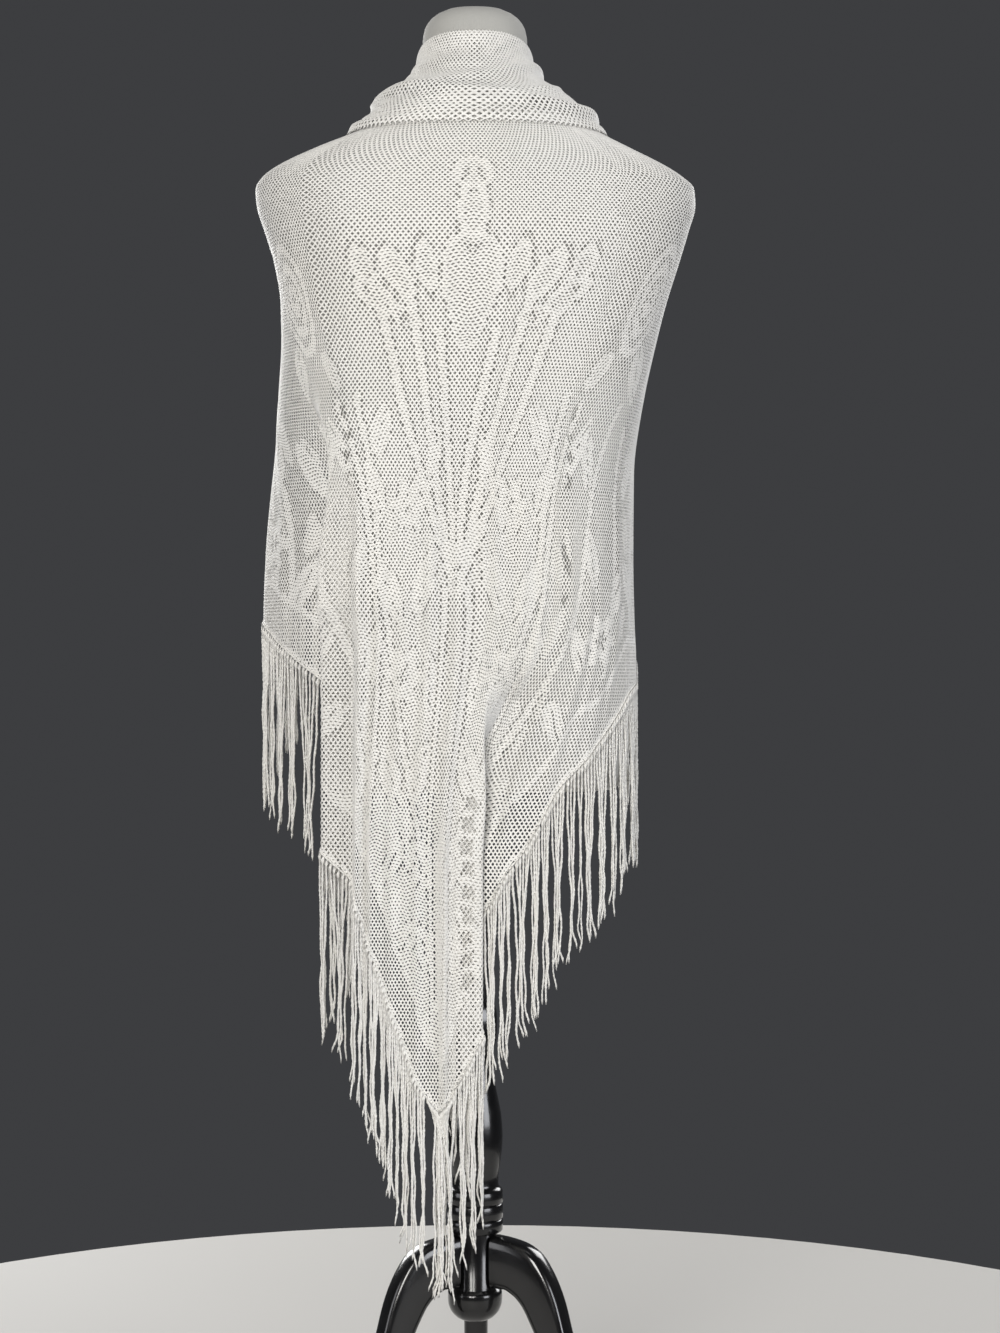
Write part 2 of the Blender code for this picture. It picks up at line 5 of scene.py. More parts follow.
import bpy
import numpy as np
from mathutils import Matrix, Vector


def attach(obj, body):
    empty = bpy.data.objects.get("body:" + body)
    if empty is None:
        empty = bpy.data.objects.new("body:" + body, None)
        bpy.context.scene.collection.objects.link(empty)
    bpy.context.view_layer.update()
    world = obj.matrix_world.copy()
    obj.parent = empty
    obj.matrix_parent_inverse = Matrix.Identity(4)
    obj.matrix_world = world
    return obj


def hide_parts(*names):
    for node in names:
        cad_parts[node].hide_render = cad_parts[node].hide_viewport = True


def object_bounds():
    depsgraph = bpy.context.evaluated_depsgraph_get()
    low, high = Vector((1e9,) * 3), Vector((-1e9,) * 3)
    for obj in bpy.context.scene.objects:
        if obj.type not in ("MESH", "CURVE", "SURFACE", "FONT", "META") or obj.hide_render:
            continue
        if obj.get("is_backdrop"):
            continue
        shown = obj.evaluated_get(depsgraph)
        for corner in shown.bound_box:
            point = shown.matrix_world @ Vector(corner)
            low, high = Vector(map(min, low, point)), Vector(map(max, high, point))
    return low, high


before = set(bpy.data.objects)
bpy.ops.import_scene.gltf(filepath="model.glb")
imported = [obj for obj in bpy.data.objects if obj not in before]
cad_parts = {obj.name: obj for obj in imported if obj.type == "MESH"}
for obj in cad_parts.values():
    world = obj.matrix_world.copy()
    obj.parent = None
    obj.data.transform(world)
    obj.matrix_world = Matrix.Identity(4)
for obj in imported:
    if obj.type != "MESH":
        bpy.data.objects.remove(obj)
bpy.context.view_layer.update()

# The dress form: a limbless foam torso in a cotton jersey cover, pulled tight over the neck.
# It is one smooth body, a little inside the cloth all round, and it stands on its pole.
WHOLE_SHIFT_Y = -0.0414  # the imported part's axis lies this far from the torso's
RING_POWER = 0.86  # 1 is an ellipse, less is squarer
FORM_SIDES = 112
FORM_ROWS = 190
# Each row: height, half width, back, front
FORM_RINGS = (
    (0.620, 0.124, 0.086, 0.090),
    (0.624, 0.130, 0.092, 0.096),
    (0.634, 0.1335, 0.095, 0.100),
    (0.660, 0.1355, 0.096, 0.102),
    (0.700, 0.136, 0.096, 0.102),
    (0.760, 0.133, 0.092, 0.099),
    (0.820, 0.126, 0.084, 0.093),
    (0.870, 0.123, 0.079, 0.090),
    (0.930, 0.131, 0.084, 0.098),
    (0.980, 0.146, 0.092, 0.111),
    (1.020, 0.157, 0.097, 0.119),
    (1.055, 0.165, 0.099, 0.116),
    (1.090, 0.173, 0.098, 0.105),
    (1.120, 0.182, 0.095, 0.094),
    (1.143, 0.189, 0.091, 0.086),
    (1.157, 0.189, 0.087, 0.081),
    (1.166, 0.183, 0.083, 0.077),
    (1.175, 0.171, 0.080, 0.074),
    (1.190, 0.138, 0.074, 0.069),
    (1.203, 0.106, 0.069, 0.065),
    (1.215, 0.080, 0.062, 0.059),
    (1.232, 0.056, 0.053, 0.051),
    (1.250, 0.0465, 0.047, 0.047),
    (1.272, 0.0460, 0.0455, 0.0455),
    (1.290, 0.0470, 0.0465, 0.0465),
    (1.300, 0.0455, 0.0450, 0.0450),
    (1.307, 0.0418, 0.0414, 0.0414),
    (1.313, 0.0350, 0.0346, 0.0346),
    (1.317, 0.0265, 0.0262, 0.0262),
    (1.3193, 0.0160, 0.0158, 0.0158),
    (1.320, 0.0060, 0.0060, 0.0060),
)


def ease(share):
    """Smooth step from 0 to 1."""
    held = np.clip(share, 0.0, 1.0)
    return held * held * (3.0 - 2.0 * held)


def read(table, column, where):
    """One column of a table at a value of its first column, on a smooth curve with no overshoot."""
    rows = np.array(table)
    if rows[0, 0] > rows[-1, 0]:
        rows = rows[::-1]
    place = rows[:, 0]
    value = rows[:, column]
    steps = np.diff(value) / np.diff(place)
    slope = np.zeros(len(place))
    slope[0] = steps[0]
    slope[-1] = steps[-1]
    product = steps[:-1] * steps[1:]
    total = np.where(product > 0, steps[:-1] + steps[1:], 1.0)
    slope[1:-1] = np.where(product > 0, 2.0 * product / total, 0.0)
    at = np.clip(where, place[0], place[-1])
    low = np.clip(np.searchsorted(place, at, side="right") - 1, 0, len(place) - 2)
    width = place[low + 1] - place[low]
    part = (at - place[low]) / width
    rise = ease(part)
    start = part * (1.0 - part) ** 2 * width * slope[low]
    end = -part * part * (1.0 - part) * width * slope[low + 1]
    return value[low] * (1.0 - rise) + value[low + 1] * rise + start + end


def rounded(angle, left, right, back, front):
    """A point of a closed ring round the body. Angle 0 is the back's middle, a half turn the front's."""
    across = np.sin(angle)
    behind = np.cos(angle)
    half = np.where(across >= 0, right, left)
    depth = np.where(behind >= 0, back, front)
    x = half * np.sign(across) * np.abs(across) ** RING_POWER
    y = -depth * np.sign(behind) * np.abs(behind) ** RING_POWER
    return x, y


def placed(mesh, material):
    """A smooth mesh as an object that rides on the part's only body."""
    mesh.validate()
    mesh.materials.append(material)
    mesh.shade_smooth()
    made = bpy.data.objects.new(mesh.name, mesh)
    bpy.context.scene.collection.objects.link(made)
    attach(made, "root")
    return made


def add_piece(name, points, faces, material):
    """A piece from lists of points and faces."""
    mesh = bpy.data.meshes.new(name)
    mesh.from_pydata([tuple(point) for point in points], [], faces)
    return placed(mesh, material)


def stacked(rings):
    """Faces between rings of equal length, closed at both ends, outward for rings that rise."""
    rows, around = rings.shape[:2]
    faces = []
    for row in range(rows - 1):
        for step in range(around):
            here = row * around + step
            beside = row * around + (step + 1) % around
            faces.append((here, beside, beside + around, here + around))
    faces.append(tuple(reversed(range(around))))
    faces.append(tuple(range((rows - 1) * around, rows * around)))
    return faces


def linear(code):
    """An sRGB hex colour as linear RGBA."""
    parts = [int(code[start : start + 2], 16) / 255.0 for start in (1, 3, 5)]
    return (*[c / 12.92 if c <= 0.04045 else ((c + 0.055) / 1.055) ** 2.4 for c in parts], 1.0)


def add_node(tree, kind, sockets, **settings):
    """Adds one shader node. Each socket gets a value, or a (node, output name) to link from."""
    made = tree.nodes.new(kind)
    for name, value in settings.items():
        setattr(made, name, value)
    for name, value in sockets.items():
        if isinstance(value, tuple) and isinstance(value[0], bpy.types.Node):
            tree.links.new(value[0].outputs[value[1]], made.inputs[name])
        else:
            made.inputs[name].default_value = value
    return made


# A colour mix has several sockets of one name, so its colour sockets are given by number
MIX_A = 6
MIX_B = 7
MIXED = 2


def new_material(name):
    """A material with its node tree and its Principled shader."""
    made = bpy.data.materials.new(name)
    made.use_nodes = True
    return made, made.node_tree, made.node_tree.nodes["Principled BSDF"]


# Cotton jersey, circular-knitted and steamed smooth: matt, pale grey, with a fuzzy fine rib.
# The rib is really 0.7 mm apart and is drawn at 1.4 mm, so that it shows at all.
jersey, tree, shader = new_material("cotton_jersey_smooth")
where = add_node(tree, "ShaderNodeTexCoord", {})
clouds = add_node(tree, "ShaderNodeTexNoise", {"Vector": (where, "Object"), "Scale": 14.0, "Detail": 3.0})
tint = add_node(
    tree,
    "ShaderNodeMix",
    {"Factor": (clouds, "Fac"), MIX_A: linear("#9F9E9A"), MIX_B: linear("#ABAAA5")},
    data_type="RGBA",
)
rib = add_node(
    tree,
    "ShaderNodeTexWave",
    {"Vector": (where, "Object"), "Scale": 220.0, "Distortion": 1.2, "Detail": 1.0},
    bands_direction="X",
)
fuzz = add_node(tree, "ShaderNodeTexNoise", {"Vector": (where, "Object"), "Scale": 1100.0, "Detail": 2.0})
weave = add_node(tree, "ShaderNodeMath", {0: (rib, "Fac"), 1: (fuzz, "Fac")}, operation="ADD")
relief = add_node(
    tree, "ShaderNodeBump", {"Height": (weave, "Value"), "Strength": 0.25, "Distance": 0.0003}
)
tree.links.new(tint.outputs[MIXED], shader.inputs["Base Color"])
tree.links.new(relief.outputs["Normal"], shader.inputs["Normal"])
shader.inputs["Roughness"].default_value = 0.82
shader.inputs["Sheen Weight"].default_value = 0.12
shader.inputs["Sheen Roughness"].default_value = 0.5

angles = np.linspace(0.0, 2.0 * math.pi, FORM_SIDES, endpoint=False)
form_rings = []
for height in np.linspace(FORM_RINGS[0][0], FORM_RINGS[-1][0], FORM_ROWS):
    half, back, front = (float(read(FORM_RINGS, column, height)) for column in (1, 2, 3))
    x, y = rounded(angles, half, half, back, front)
    form_rings.append(np.column_stack([x, y + WHOLE_SHIFT_Y, np.full(FORM_SIDES, height)]))
# The cap's last rise, over the flat end of the solid. Each row: share of the ring, lift
last = form_rings[-1]
middle = np.array([0.0, WHOLE_SHIFT_Y, FORM_RINGS[-1][0]])
for share, lift in ((0.72, 0.0006), (0.36, 0.0010), (0.08, 0.0011)):
    form_rings.append(middle + (last - middle) * share + np.array([0.0, 0.0, lift]))
form_rings = np.array(form_rings)
torso = add_piece(
    "dress_form_torso", form_rings.reshape(-1, 3), stacked(form_rings), jersey
)
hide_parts("dress_form")

# The stand: a turned column with three curved legs, in wood under black gloss lacquer.
# Grooves and beads are cut on the lathe; the legs are sawn, rounded over and glued to the column.
TURNED_SIDES = 72
TURNED_EDGE = 50  # degrees between two faces that makes an edge sharp
# Each row of both profiles: height, radius
STAND_TOP = (
    (0.3863, 0.0160),
    (0.3880, 0.0178),
    (0.390, 0.0185),
    (0.395, 0.0194),
    (0.400, 0.0198),
    (0.408, 0.0200),
    (0.415, 0.0200),
    (0.421, 0.0192),
    (0.425, 0.0180),
    (0.4290, 0.0158),
    (0.4307, 0.0135),
)
COLUMN = (
    (0.142, 0.0080),
    (0.143, 0.0130),
    (0.145, 0.0165),
    (0.148, 0.0197),
    (0.151, 0.0220),
    (0.155, 0.0236),
    (0.158, 0.0243),
    (0.162, 0.0245),
    (0.1665, 0.0245),
    (0.1685, 0.0241),
    (0.170, 0.0230),
    (0.1712, 0.0212),
    (0.172, 0.0205),
    (0.221, 0.0205),
    (0.2215, 0.0225),
    (0.2225, 0.0243),
    (0.2235, 0.0250),
    (0.2318, 0.0252),
    (0.2328, 0.0248),
    (0.2335, 0.0238),
    (0.2342, 0.0248),
    (0.2352, 0.0252),
    (0.2458, 0.0252),
    (0.2468, 0.0248),
    (0.2475, 0.0238),
    (0.2482, 0.0248),
    (0.2492, 0.0252),
    (0.2580, 0.0250),
    (0.2600, 0.0243),
    (0.2612, 0.0230),
    (0.2622, 0.0216),
    (0.2650, 0.0211),
    (0.272, 0.0212),
    (0.280, 0.0224),
    (0.288, 0.0235),
    (0.298, 0.0246),
    (0.308, 0.0250),
    (0.318, 0.0245),
    (0.328, 0.0235),
    (0.340, 0.0211),
    (0.350, 0.0190),
    (0.360, 0.0170),
    (0.368, 0.0155),
    (0.375, 0.0147),
    (0.380, 0.0145),
    (0.384, 0.0149),
    (0.386, 0.0155),
)

# Black nitrocellulose lacquer, sprayed and polished on wood: near-black with sharp highlights,
# a slight orange-peel ripple 4 mm wide, and fine dulling where hands have rubbed it.
lacquer, tree, shader = new_material("black_gloss_lacquer_on_wood")
where = add_node(tree, "ShaderNodeTexCoord", {})
ripple = add_node(tree, "ShaderNodeTexNoise", {"Vector": (where, "Object"), "Scale": 250.0, "Detail": 1.0})
rubbed = add_node(tree, "ShaderNodeTexNoise", {"Vector": (where, "Object"), "Scale": 40.0, "Detail": 4.0})
dulling = add_node(
    tree,
    "ShaderNodeMapRange",
    {"Value": (rubbed, "Fac"), "From Min": 0.3, "From Max": 0.75, "To Min": 0.14, "To Max": 0.3},
)
relief = add_node(
    tree, "ShaderNodeBump", {"Height": (ripple, "Fac"), "Strength": 0.12, "Distance": 0.0002}
)
shader.inputs["Base Color"].default_value = linear("#0D0D0E")
shader.inputs["Coat Weight"].default_value = 0.4
shader.inputs["Coat Roughness"].default_value = 0.08
tree.links.new(dulling.outputs["Result"], shader.inputs["Roughness"])
tree.links.new(relief.outputs["Normal"], shader.inputs["Normal"])


def turned(profile):
    """Rings of a piece turned about the stand's axis."""
    around = np.linspace(0.0, 2.0 * math.pi, TURNED_SIDES, endpoint=False)
    rings = []
    for height, radius in profile:
        x = radius * np.sin(around)
        y = WHOLE_SHIFT_Y - radius * np.cos(around)
        rings.append(np.column_stack([x, y, np.full(TURNED_SIDES, height)]))
    return np.array(rings)


for name, profile in (("stand_top", STAND_TOP), ("stand_column", COLUMN)):
    rings = turned(profile)
    part = add_piece(name + "_turned", rings.reshape(-1, 3), stacked(rings), lacquer)
    part.data.set_sharp_from_angle(angle=math.radians(TURNED_EDGE))
    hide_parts(name)

# The legs: sawn from board 23 mm thick to a cyma curve, with their upper edges rounded over.
# Each is glued into the column's foot, a third of a turn from the next, under the same lacquer.
LEG_COUNT = 3
LEG_ROWS = 72
LEG_TURNS = 24
LEG_SQUARENESS = 0.42  # 1 is an oval section, less is squarer
LEG_EDGE = 60
# Each row: outer reach, outer height, inner reach, inner height, half width
LEG = (
    (0.0210, 0.2200, 0.0210, 0.1735, 0.0115),
    (0.0330, 0.2190, 0.0330, 0.1740, 0.0120),
    (0.0500, 0.2160, 0.0430, 0.1700, 0.0120),
    (0.0640, 0.2090, 0.0520, 0.1620, 0.0120),
    (0.0770, 0.1930, 0.0610, 0.1470, 0.0118),
    (0.0885, 0.1690, 0.0700, 0.1280, 0.0115),
    (0.0970, 0.1400, 0.0780, 0.1060, 0.0112),
    (0.1060, 0.1100, 0.0870, 0.0830, 0.0110),
    (0.1180, 0.0830, 0.0990, 0.0600, 0.0108),
    (0.1350, 0.0600, 0.1180, 0.0370, 0.0106),
    (0.1580, 0.0440, 0.1450, 0.0160, 0.0106),
    (0.1800, 0.0360, 0.1720, 0.0000, 0.0110),
    (0.2050, 0.0320, 0.2050, 0.0000, 0.0115),
    (0.2170, 0.0200, 0.2170, 0.0000, 0.0100),
)
leg_steps = np.column_stack([np.arange(len(LEG)), np.array(LEG)])
leg_places = np.linspace(0.0, len(LEG) - 1.0, LEG_ROWS)
outer_reach, outer_height, inner_reach, inner_height, half_width = (
    read(leg_steps, column, leg_places)[:, None] for column in range(1, 6)
)
section = np.linspace(0.0, 2.0 * math.pi, LEG_TURNS, endpoint=False)[None, :]
cos = np.cos(section)
sin = np.sin(section)
inward = 0.5 - 0.5 * np.sign(cos) * np.abs(cos) ** LEG_SQUARENESS
across = half_width * np.sign(sin) * np.abs(sin) ** LEG_SQUARENESS
reach = outer_reach + (inner_reach - outer_reach) * inward
rise = outer_height + (inner_height - outer_height) * inward
for index in range(LEG_COUNT):
    turn = math.pi * (0.5 + 2 * index / LEG_COUNT)
    x = reach * math.cos(turn) - across * math.sin(turn)
    y = reach * math.sin(turn) + across * math.cos(turn) + WHOLE_SHIFT_Y
    rings = np.stack([x, y, rise], axis=2)
    leg = add_piece(f"stand_leg_{index + 1}", rings.reshape(-1, 3), stacked(rings), lacquer)
    leg.data.set_sharp_from_angle(angle=math.radians(LEG_EDGE))
    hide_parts(f"leg_{index + 1}")

# The pole: a drawn steel tube in satin black powder coat, clamped in the turned top.
# The powder leaves a faint pebble about 1 mm wide, which blurs its highlight.
powder, tree, shader = new_material("black_powder_coated_steel")
where = add_node(tree, "ShaderNodeTexCoord", {})
pebble = add_node(tree, "ShaderNodeTexNoise", {"Vector": (where, "Object"), "Scale": 1000.0, "Detail": 1.0})
relief = add_node(
    tree, "ShaderNodeBump", {"Height": (pebble, "Fac"), "Strength": 0.2, "Distance": 0.0001}
)
shader.inputs["Base Color"].default_value = linear("#161617")
shader.inputs["Roughness"].default_value = 0.38
tree.links.new(relief.outputs["Normal"], shader.inputs["Normal"])
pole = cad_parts["stand_pole"]
pole.data.materials.clear()
pole.data.materials.append(powder)

# The shawl: one triangle knitted in a viscose and cotton yarn, about 2.0 m by 1.0 m.
# It lies over the shoulders and hangs in a point behind, with a deep lap pleat at each side of
# the tail and soft upright folds; the surface below is that drape, row by row.
CHEST_HALF_WIDTH = 0.47  # cloth from the back's middle to the chest's middle
LEFT_END = -0.60
RIGHT_END = 0.58
LEFT_SIDE = -0.30  # where the left front stretch begins
RIGHT_SIDE = 0.27
LEFT_PLEAT = (0.15, 0.24)
RIGHT_PLEAT = (0.03, 0.12)
BODY_TOP = 1.218
SHOULDER_FREE = 1.12  # above this the cloth lies evenly on the shoulders
HANGING = 0.86  # below this it hangs straight down
FOLD_TOP = 0.80  # here the right-hand cloth starts to draw into its pleat
FOLD_FULL = 0.56
LEFT_PLEAT_CLOTH = 0.100
RIGHT_PLEAT_CLOTH = 0.090
LEFT_PLEAT_OPENS = (0.99, 0.25)  # the height where it starts to open, and how much lower it is open
RIGHT_PLEAT_OPENS = (0.74, 0.18)
HAIRPIN = 0.052  # share of a pleat's cloth in half of one of its turns
PLEAT_STEPS = 201
PLEAT_DEPTH_MOST = 0.018
PAST_PLEAT = 0.06  # the lift ends over this much cloth beyond the right pleat
FRONT_LIFT = 0.004  # each of the two crossed fronts stands this far from the middle layer
CROSSING = (0.34, 0.07)  # the cloth width where that starts, and its run
CREASE_START = 0.16  # a crease grows over this drop from its top
CREASE_END = 0.05
RING_REACH = 1.45  # the rings run this many half turns each way, since the fronts cross
RING_STEPS = 581
# Each row: height, left, right, back, front
CLOTH_RINGS = (
    (0.340, 0.186, 0.144, 0.121, 0.130),
    (0.600, 0.186, 0.144, 0.121, 0.130),
    (0.717, 0.1863, 0.144, 0.120, 0.130),
    (0.770, 0.1863, 0.1415, 0.118, 0.130),
    (0.825, 0.1845, 0.1404, 0.116, 0.130),
    (0.900, 0.180, 0.1415, 0.114, 0.130),
    (0.970, 0.1764, 0.152, 0.112, 0.130),
    (1.020, 0.1737, 0.163, 0.111, 0.130),
    (1.055, 0.1745, 0.172, 0.110, 0.127),
    (1.090, 0.180, 0.183, 0.108, 0.117),
    (1.120, 0.189, 0.192, 0.104, 0.106),
    (1.143, 0.196, 0.198, 0.099, 0.097),
    (1.157, 0.197, 0.197, 0.095, 0.092),
    (1.166, 0.192, 0.188, 0.092, 0.088),
    (1.175, 0.180, 0.174, 0.089, 0.085),
    (1.190, 0.148, 0.144, 0.084, 0.081),
    (1.203, 0.1140, 0.1180, 0.079, 0.077),
    (1.212, 0.096, 0.103, 0.073, 0.072),
    (1.225, 0.080, 0.087, 0.065, 0.065),
)
# Each row of both hems: cloth width, way round the body at FOLD_TOP, the same at FOLD_FULL, and
# the hem's height
LEFT_HEM = (
    (0.000, 0.0150, 0.0286, 0.352),
    (0.030, 0.0340, 0.0450, 0.374),
    (0.055, 0.0490, 0.0600, 0.414),
    (0.085, 0.0670, 0.0770, 0.464),
    (0.110, 0.0810, 0.0890, 0.500),
    (0.150, 0.1025, 0.1025, 0.548),
    (0.1725, 0.1080, 0.1080, 0.573),
    (0.2175, 0.1120, 0.1120, 0.640),
    (0.240, 0.1150, 0.1150, 0.690),
    (0.250, 0.1264, 0.1264, 0.710),
    (0.270, 0.1470, 0.1470, 0.726),
    (0.300, 0.1820, 0.1820, 0.746),
    (0.330, 0.2160, 0.2160, 0.763),
    (0.360, 0.2460, 0.2460, 0.774),
    (0.420, 0.3050, 0.3050, 0.815),
    (0.480, 0.3650, 0.3650, 0.870),
    (0.540, 0.4300, 0.4300, 0.935),
    (0.600, 0.5000, 0.5000, 1.000),
)
RIGHT_HEM = (
    (0.000, -0.0150, -0.0286, 0.352),
    (0.015, -0.0030, -0.0215, 0.360),
    (0.030, 0.0100, -0.0150, 0.374),
    (0.0525, 0.0240, -0.0130, 0.418),
    (0.0975, 0.0530, -0.0100, 0.482),
    (0.120, 0.0680, -0.0080, 0.508),
    (0.135, 0.0760, 0.0123, 0.525),
    (0.155, 0.0880, 0.0276, 0.554),
    (0.170, 0.0970, 0.0429, 0.573),
    (0.200, 0.1140, 0.0642, 0.624),
    (0.215, 0.1240, 0.0787, 0.642),
    (0.240, 0.1400, 0.0957, 0.664),
    (0.265, 0.1580, 0.1210, 0.690),
    (0.285, 0.1750, 0.1450, 0.708),
    (0.320, 0.2050, 0.1900, 0.718),
    (0.360, 0.2400, 0.2350, 0.738),
    (0.420, 0.2900, 0.2900, 0.788),
    (0.480, 0.3500, 0.3500, 0.852),
    (0.530, 0.4050, 0.4050, 0.920),
    (0.580, 0.4700, 0.4700, 1.000),
)
# Soft folds and creases. Each row: cloth width at the top and at the bottom, half width, height,
# top, bottom
CREASES = (
    (-0.131, -0.129, 0.010, 0.0080, 0.94, 0.40),
    (-0.104, -0.100, 0.009, 0.0044, 0.88, 0.38),
    (-0.068, -0.068, 0.011, 0.0034, 0.86, 0.34),
    (-0.032, -0.032, 0.010, 0.0040, 0.94, 0.34),
    (0.004, 0.008, 0.009, 0.0054, 0.90, 0.34),
    (0.046, 0.046, 0.010, 0.0030, 0.97, 0.74),
    (0.082, 0.082, 0.011, 0.0028, 0.95, 0.72),
    (0.150, 0.150, 0.012, 0.0038, 0.93, 0.50),
    (0.184, 0.184, 0.011, 0.0030, 0.88, 0.55),
    (0.224, 0.224, 0.013, 0.0026, 0.84, 0.60),
    (-0.272, -0.272, 0.014, 0.0030, 0.95, 0.70),
    (-0.345, -0.345, 0.018, 0.0034, 0.98, 0.72),
    (-0.430, -0.430, 0.020, 0.0030, 1.02, 0.80),
    (0.352, 0.352, 0.018, 0.0030, 0.98, 0.70),
    (0.440, 0.440, 0.020, 0.0028, 1.04, 0.78),
    (-0.092, -0.086, 0.005, 0.0018, 0.80, 0.44),
    (-0.052, -0.047, 0.004, 0.0014, 0.78, 0.38),
    (-0.016, -0.012, 0.005, 0.0019, 0.84, 0.36),
    (0.014, 0.011, 0.004, 0.0016, 0.72, 0.34),
    (0.024, 0.030, 0.005, 0.0018, 1.00, 0.78),
    (0.064, 0.061, 0.005, 0.0017, 0.90, 0.70),
    (0.104, 0.112, 0.006, 0.0020, 0.92, 0.68),
    (0.130, 0.136, 0.005, 0.0017, 0.90, 0.52),
    (0.168, 0.166, 0.005, 0.0016, 0.82, 0.56),
    (0.204, 0.207, 0.006, 0.0018, 0.88, 0.62),
    (0.248, 0.243, 0.006, 0.0014, 0.92, 0.66),
    (0.300, 0.312, 0.009, 0.0018, 1.00, 0.70),
    (0.392, 0.398, 0.010, 0.0020, 0.98, 0.76),
    (0.486, 0.478, 0.012, 0.0018, 1.06, 0.84),
    (-0.252, -0.256, 0.006, 0.0015, 0.90, 0.70),
    (-0.305, -0.300, 0.008, 0.0018, 1.00, 0.74),
    (-0.388, -0.380, 0.010, 0.0020, 0.96, 0.78),
    (-0.476, -0.468, 0.012, 0.0017, 1.06, 0.84),
    (-0.176, -0.120, 0.012, 0.0016, 1.13, 0.92),
    (0.172, 0.128, 0.013, 0.0018, 1.13, 0.94),
    (-0.086, -0.060, 0.012, 0.0012, 1.10, 0.95),
    (0.094, 0.070, 0.012, 0.0013, 1.11, 0.93),
)


def summed(steps):
    """The way up to each point, from the steps between them."""
    return np.concatenate([[0.0], np.cumsum(steps)])


def cloth_ring(height):
    """The ring that the cloth follows at one height: way round, x, y and the way of a half turn."""
    angle = np.linspace(-RING_REACH * math.pi, RING_REACH * math.pi, RING_STEPS)
    sizes = [float(read(CLOTH_RINGS, column, height)) for column in range(1, 5)]
    x, y = rounded(angle, *sizes)
    way = summed(np.hypot(np.diff(x), np.diff(y)))
    way -= way[len(way) // 2]
    half_turn = np.interp(math.pi, angle, way), -np.interp(-math.pi, angle, way)
    return way, x, y, half_turn


def pleat(width, ends, cloth, open_share):
    """For cloth widths in a pleat: the extra way along it, the share of its depth, and its depth.

    Its cloth turns back at a quarter of its width, and forward again at three quarters.
    """
    fine = np.linspace(0.0, 1.0, PLEAT_STEPS)
    first = ease((fine - 0.25 + HAIRPIN) / (2 * HAIRPIN))
    second = ease((fine - 0.75 + HAIRPIN) / (2 * HAIRPIN))
    turned_by = math.pi * open_share * (first - second)
    halfway = (turned_by[:-1] + turned_by[1:]) / 2
    along = summed(np.cos(halfway) * fine[1])
    inward = summed(np.sin(halfway) * fine[1])
    share = np.clip((width - ends[0]) / (ends[1] - ends[0]), 0.0, 1.0)
    deep = inward[-1]
    extra = cloth * (np.interp(share, fine, along) - share * along[-1])
    sunk = np.interp(share, fine, inward) / deep if deep > 1e-6 else ease(share)
    return extra, sunk, min(cloth * deep, PLEAT_DEPTH_MOST)


def cloth_section(height, width):
    """The middle of the cloth at one height, for an array of cloth widths: x and y."""
    way, ring_x, ring_y, half_turn = cloth_ring(height)
    hanging = ease((SHOULDER_FREE - height) / (SHOULDER_FREE - HANGING))
    drawn = ease((FOLD_TOP - height) / (FOLD_TOP - FOLD_FULL))
    left_open = float(ease((LEFT_PLEAT_OPENS[0] - height) / LEFT_PLEAT_OPENS[1])) ** 0.8
    right_open = float(ease((RIGHT_PLEAT_OPENS[0] - height) / RIGHT_PLEAT_OPENS[1]))
    size = np.abs(width)
    left = width < 0
    spread = size / CHEST_HALF_WIDTH
    even = np.where(left, -spread * half_turn[1], spread * half_turn[0])
    left_way = read(LEFT_HEM, 1, size) * (1 - drawn) + read(LEFT_HEM, 2, size) * drawn
    right_way = read(RIGHT_HEM, 1, size) * (1 - drawn) + read(RIGHT_HEM, 2, size) * drawn
    hung = np.where(left, -left_way, right_way)
    place = even * (1 - hanging) + hung * hanging
    left_extra, left_sunk, left_depth = pleat(size, LEFT_PLEAT, LEFT_PLEAT_CLOTH, left_open)
    right_extra, right_sunk, right_depth = pleat(size, RIGHT_PLEAT, RIGHT_PLEAT_CLOTH, right_open)
    place = place + np.where(left, -left_extra, right_extra)
    # The panel between the pleats lies over both, so it stands out by their depth. Above the
    # right pleat it slopes down to the body instead, and it ends past that pleat.
    kept = float(ease(right_open * 3.0))
    fading = ease((width + LEFT_PLEAT[0]) / (LEFT_PLEAT[0] + RIGHT_PLEAT[0]))
    panel = left_depth * (1.0 - (1.0 - kept) * fading)
    past_right = ease((size - RIGHT_PLEAT[1]) / PAST_PLEAT)
    right_lift = (panel - right_depth * right_sunk) * (1.0 - np.where(left, 0.0, past_right))
    lift = np.where(left, panel * (1.0 - left_sunk), right_lift)
    lift = lift + np.where(left, -FRONT_LIFT, FRONT_LIFT) * ease((size - CROSSING[0]) / CROSSING[1])
    for top_width, bottom_width, half, rise, top, bottom in CREASES:
        strength = ease((top - height) / CREASE_START) * ease((height - bottom) / CREASE_END)
        middle = top_width + (bottom_width - top_width) * (top - height) / (top - bottom)
        lift = lift + rise * strength * np.exp(-(((width - middle) / half) ** 2))
    x = np.interp(place, way, ring_x)
    y = np.interp(place, way, ring_y)
    nudge = 0.0015
    across = np.interp(place + nudge, way, ring_x) - np.interp(place - nudge, way, ring_x)
    along = np.interp(place + nudge, way, ring_y) - np.interp(place - nudge, way, ring_y)
    length = np.hypot(across, along)
    return x + lift * along / length, y - lift * across / length + WHOLE_SHIFT_Y


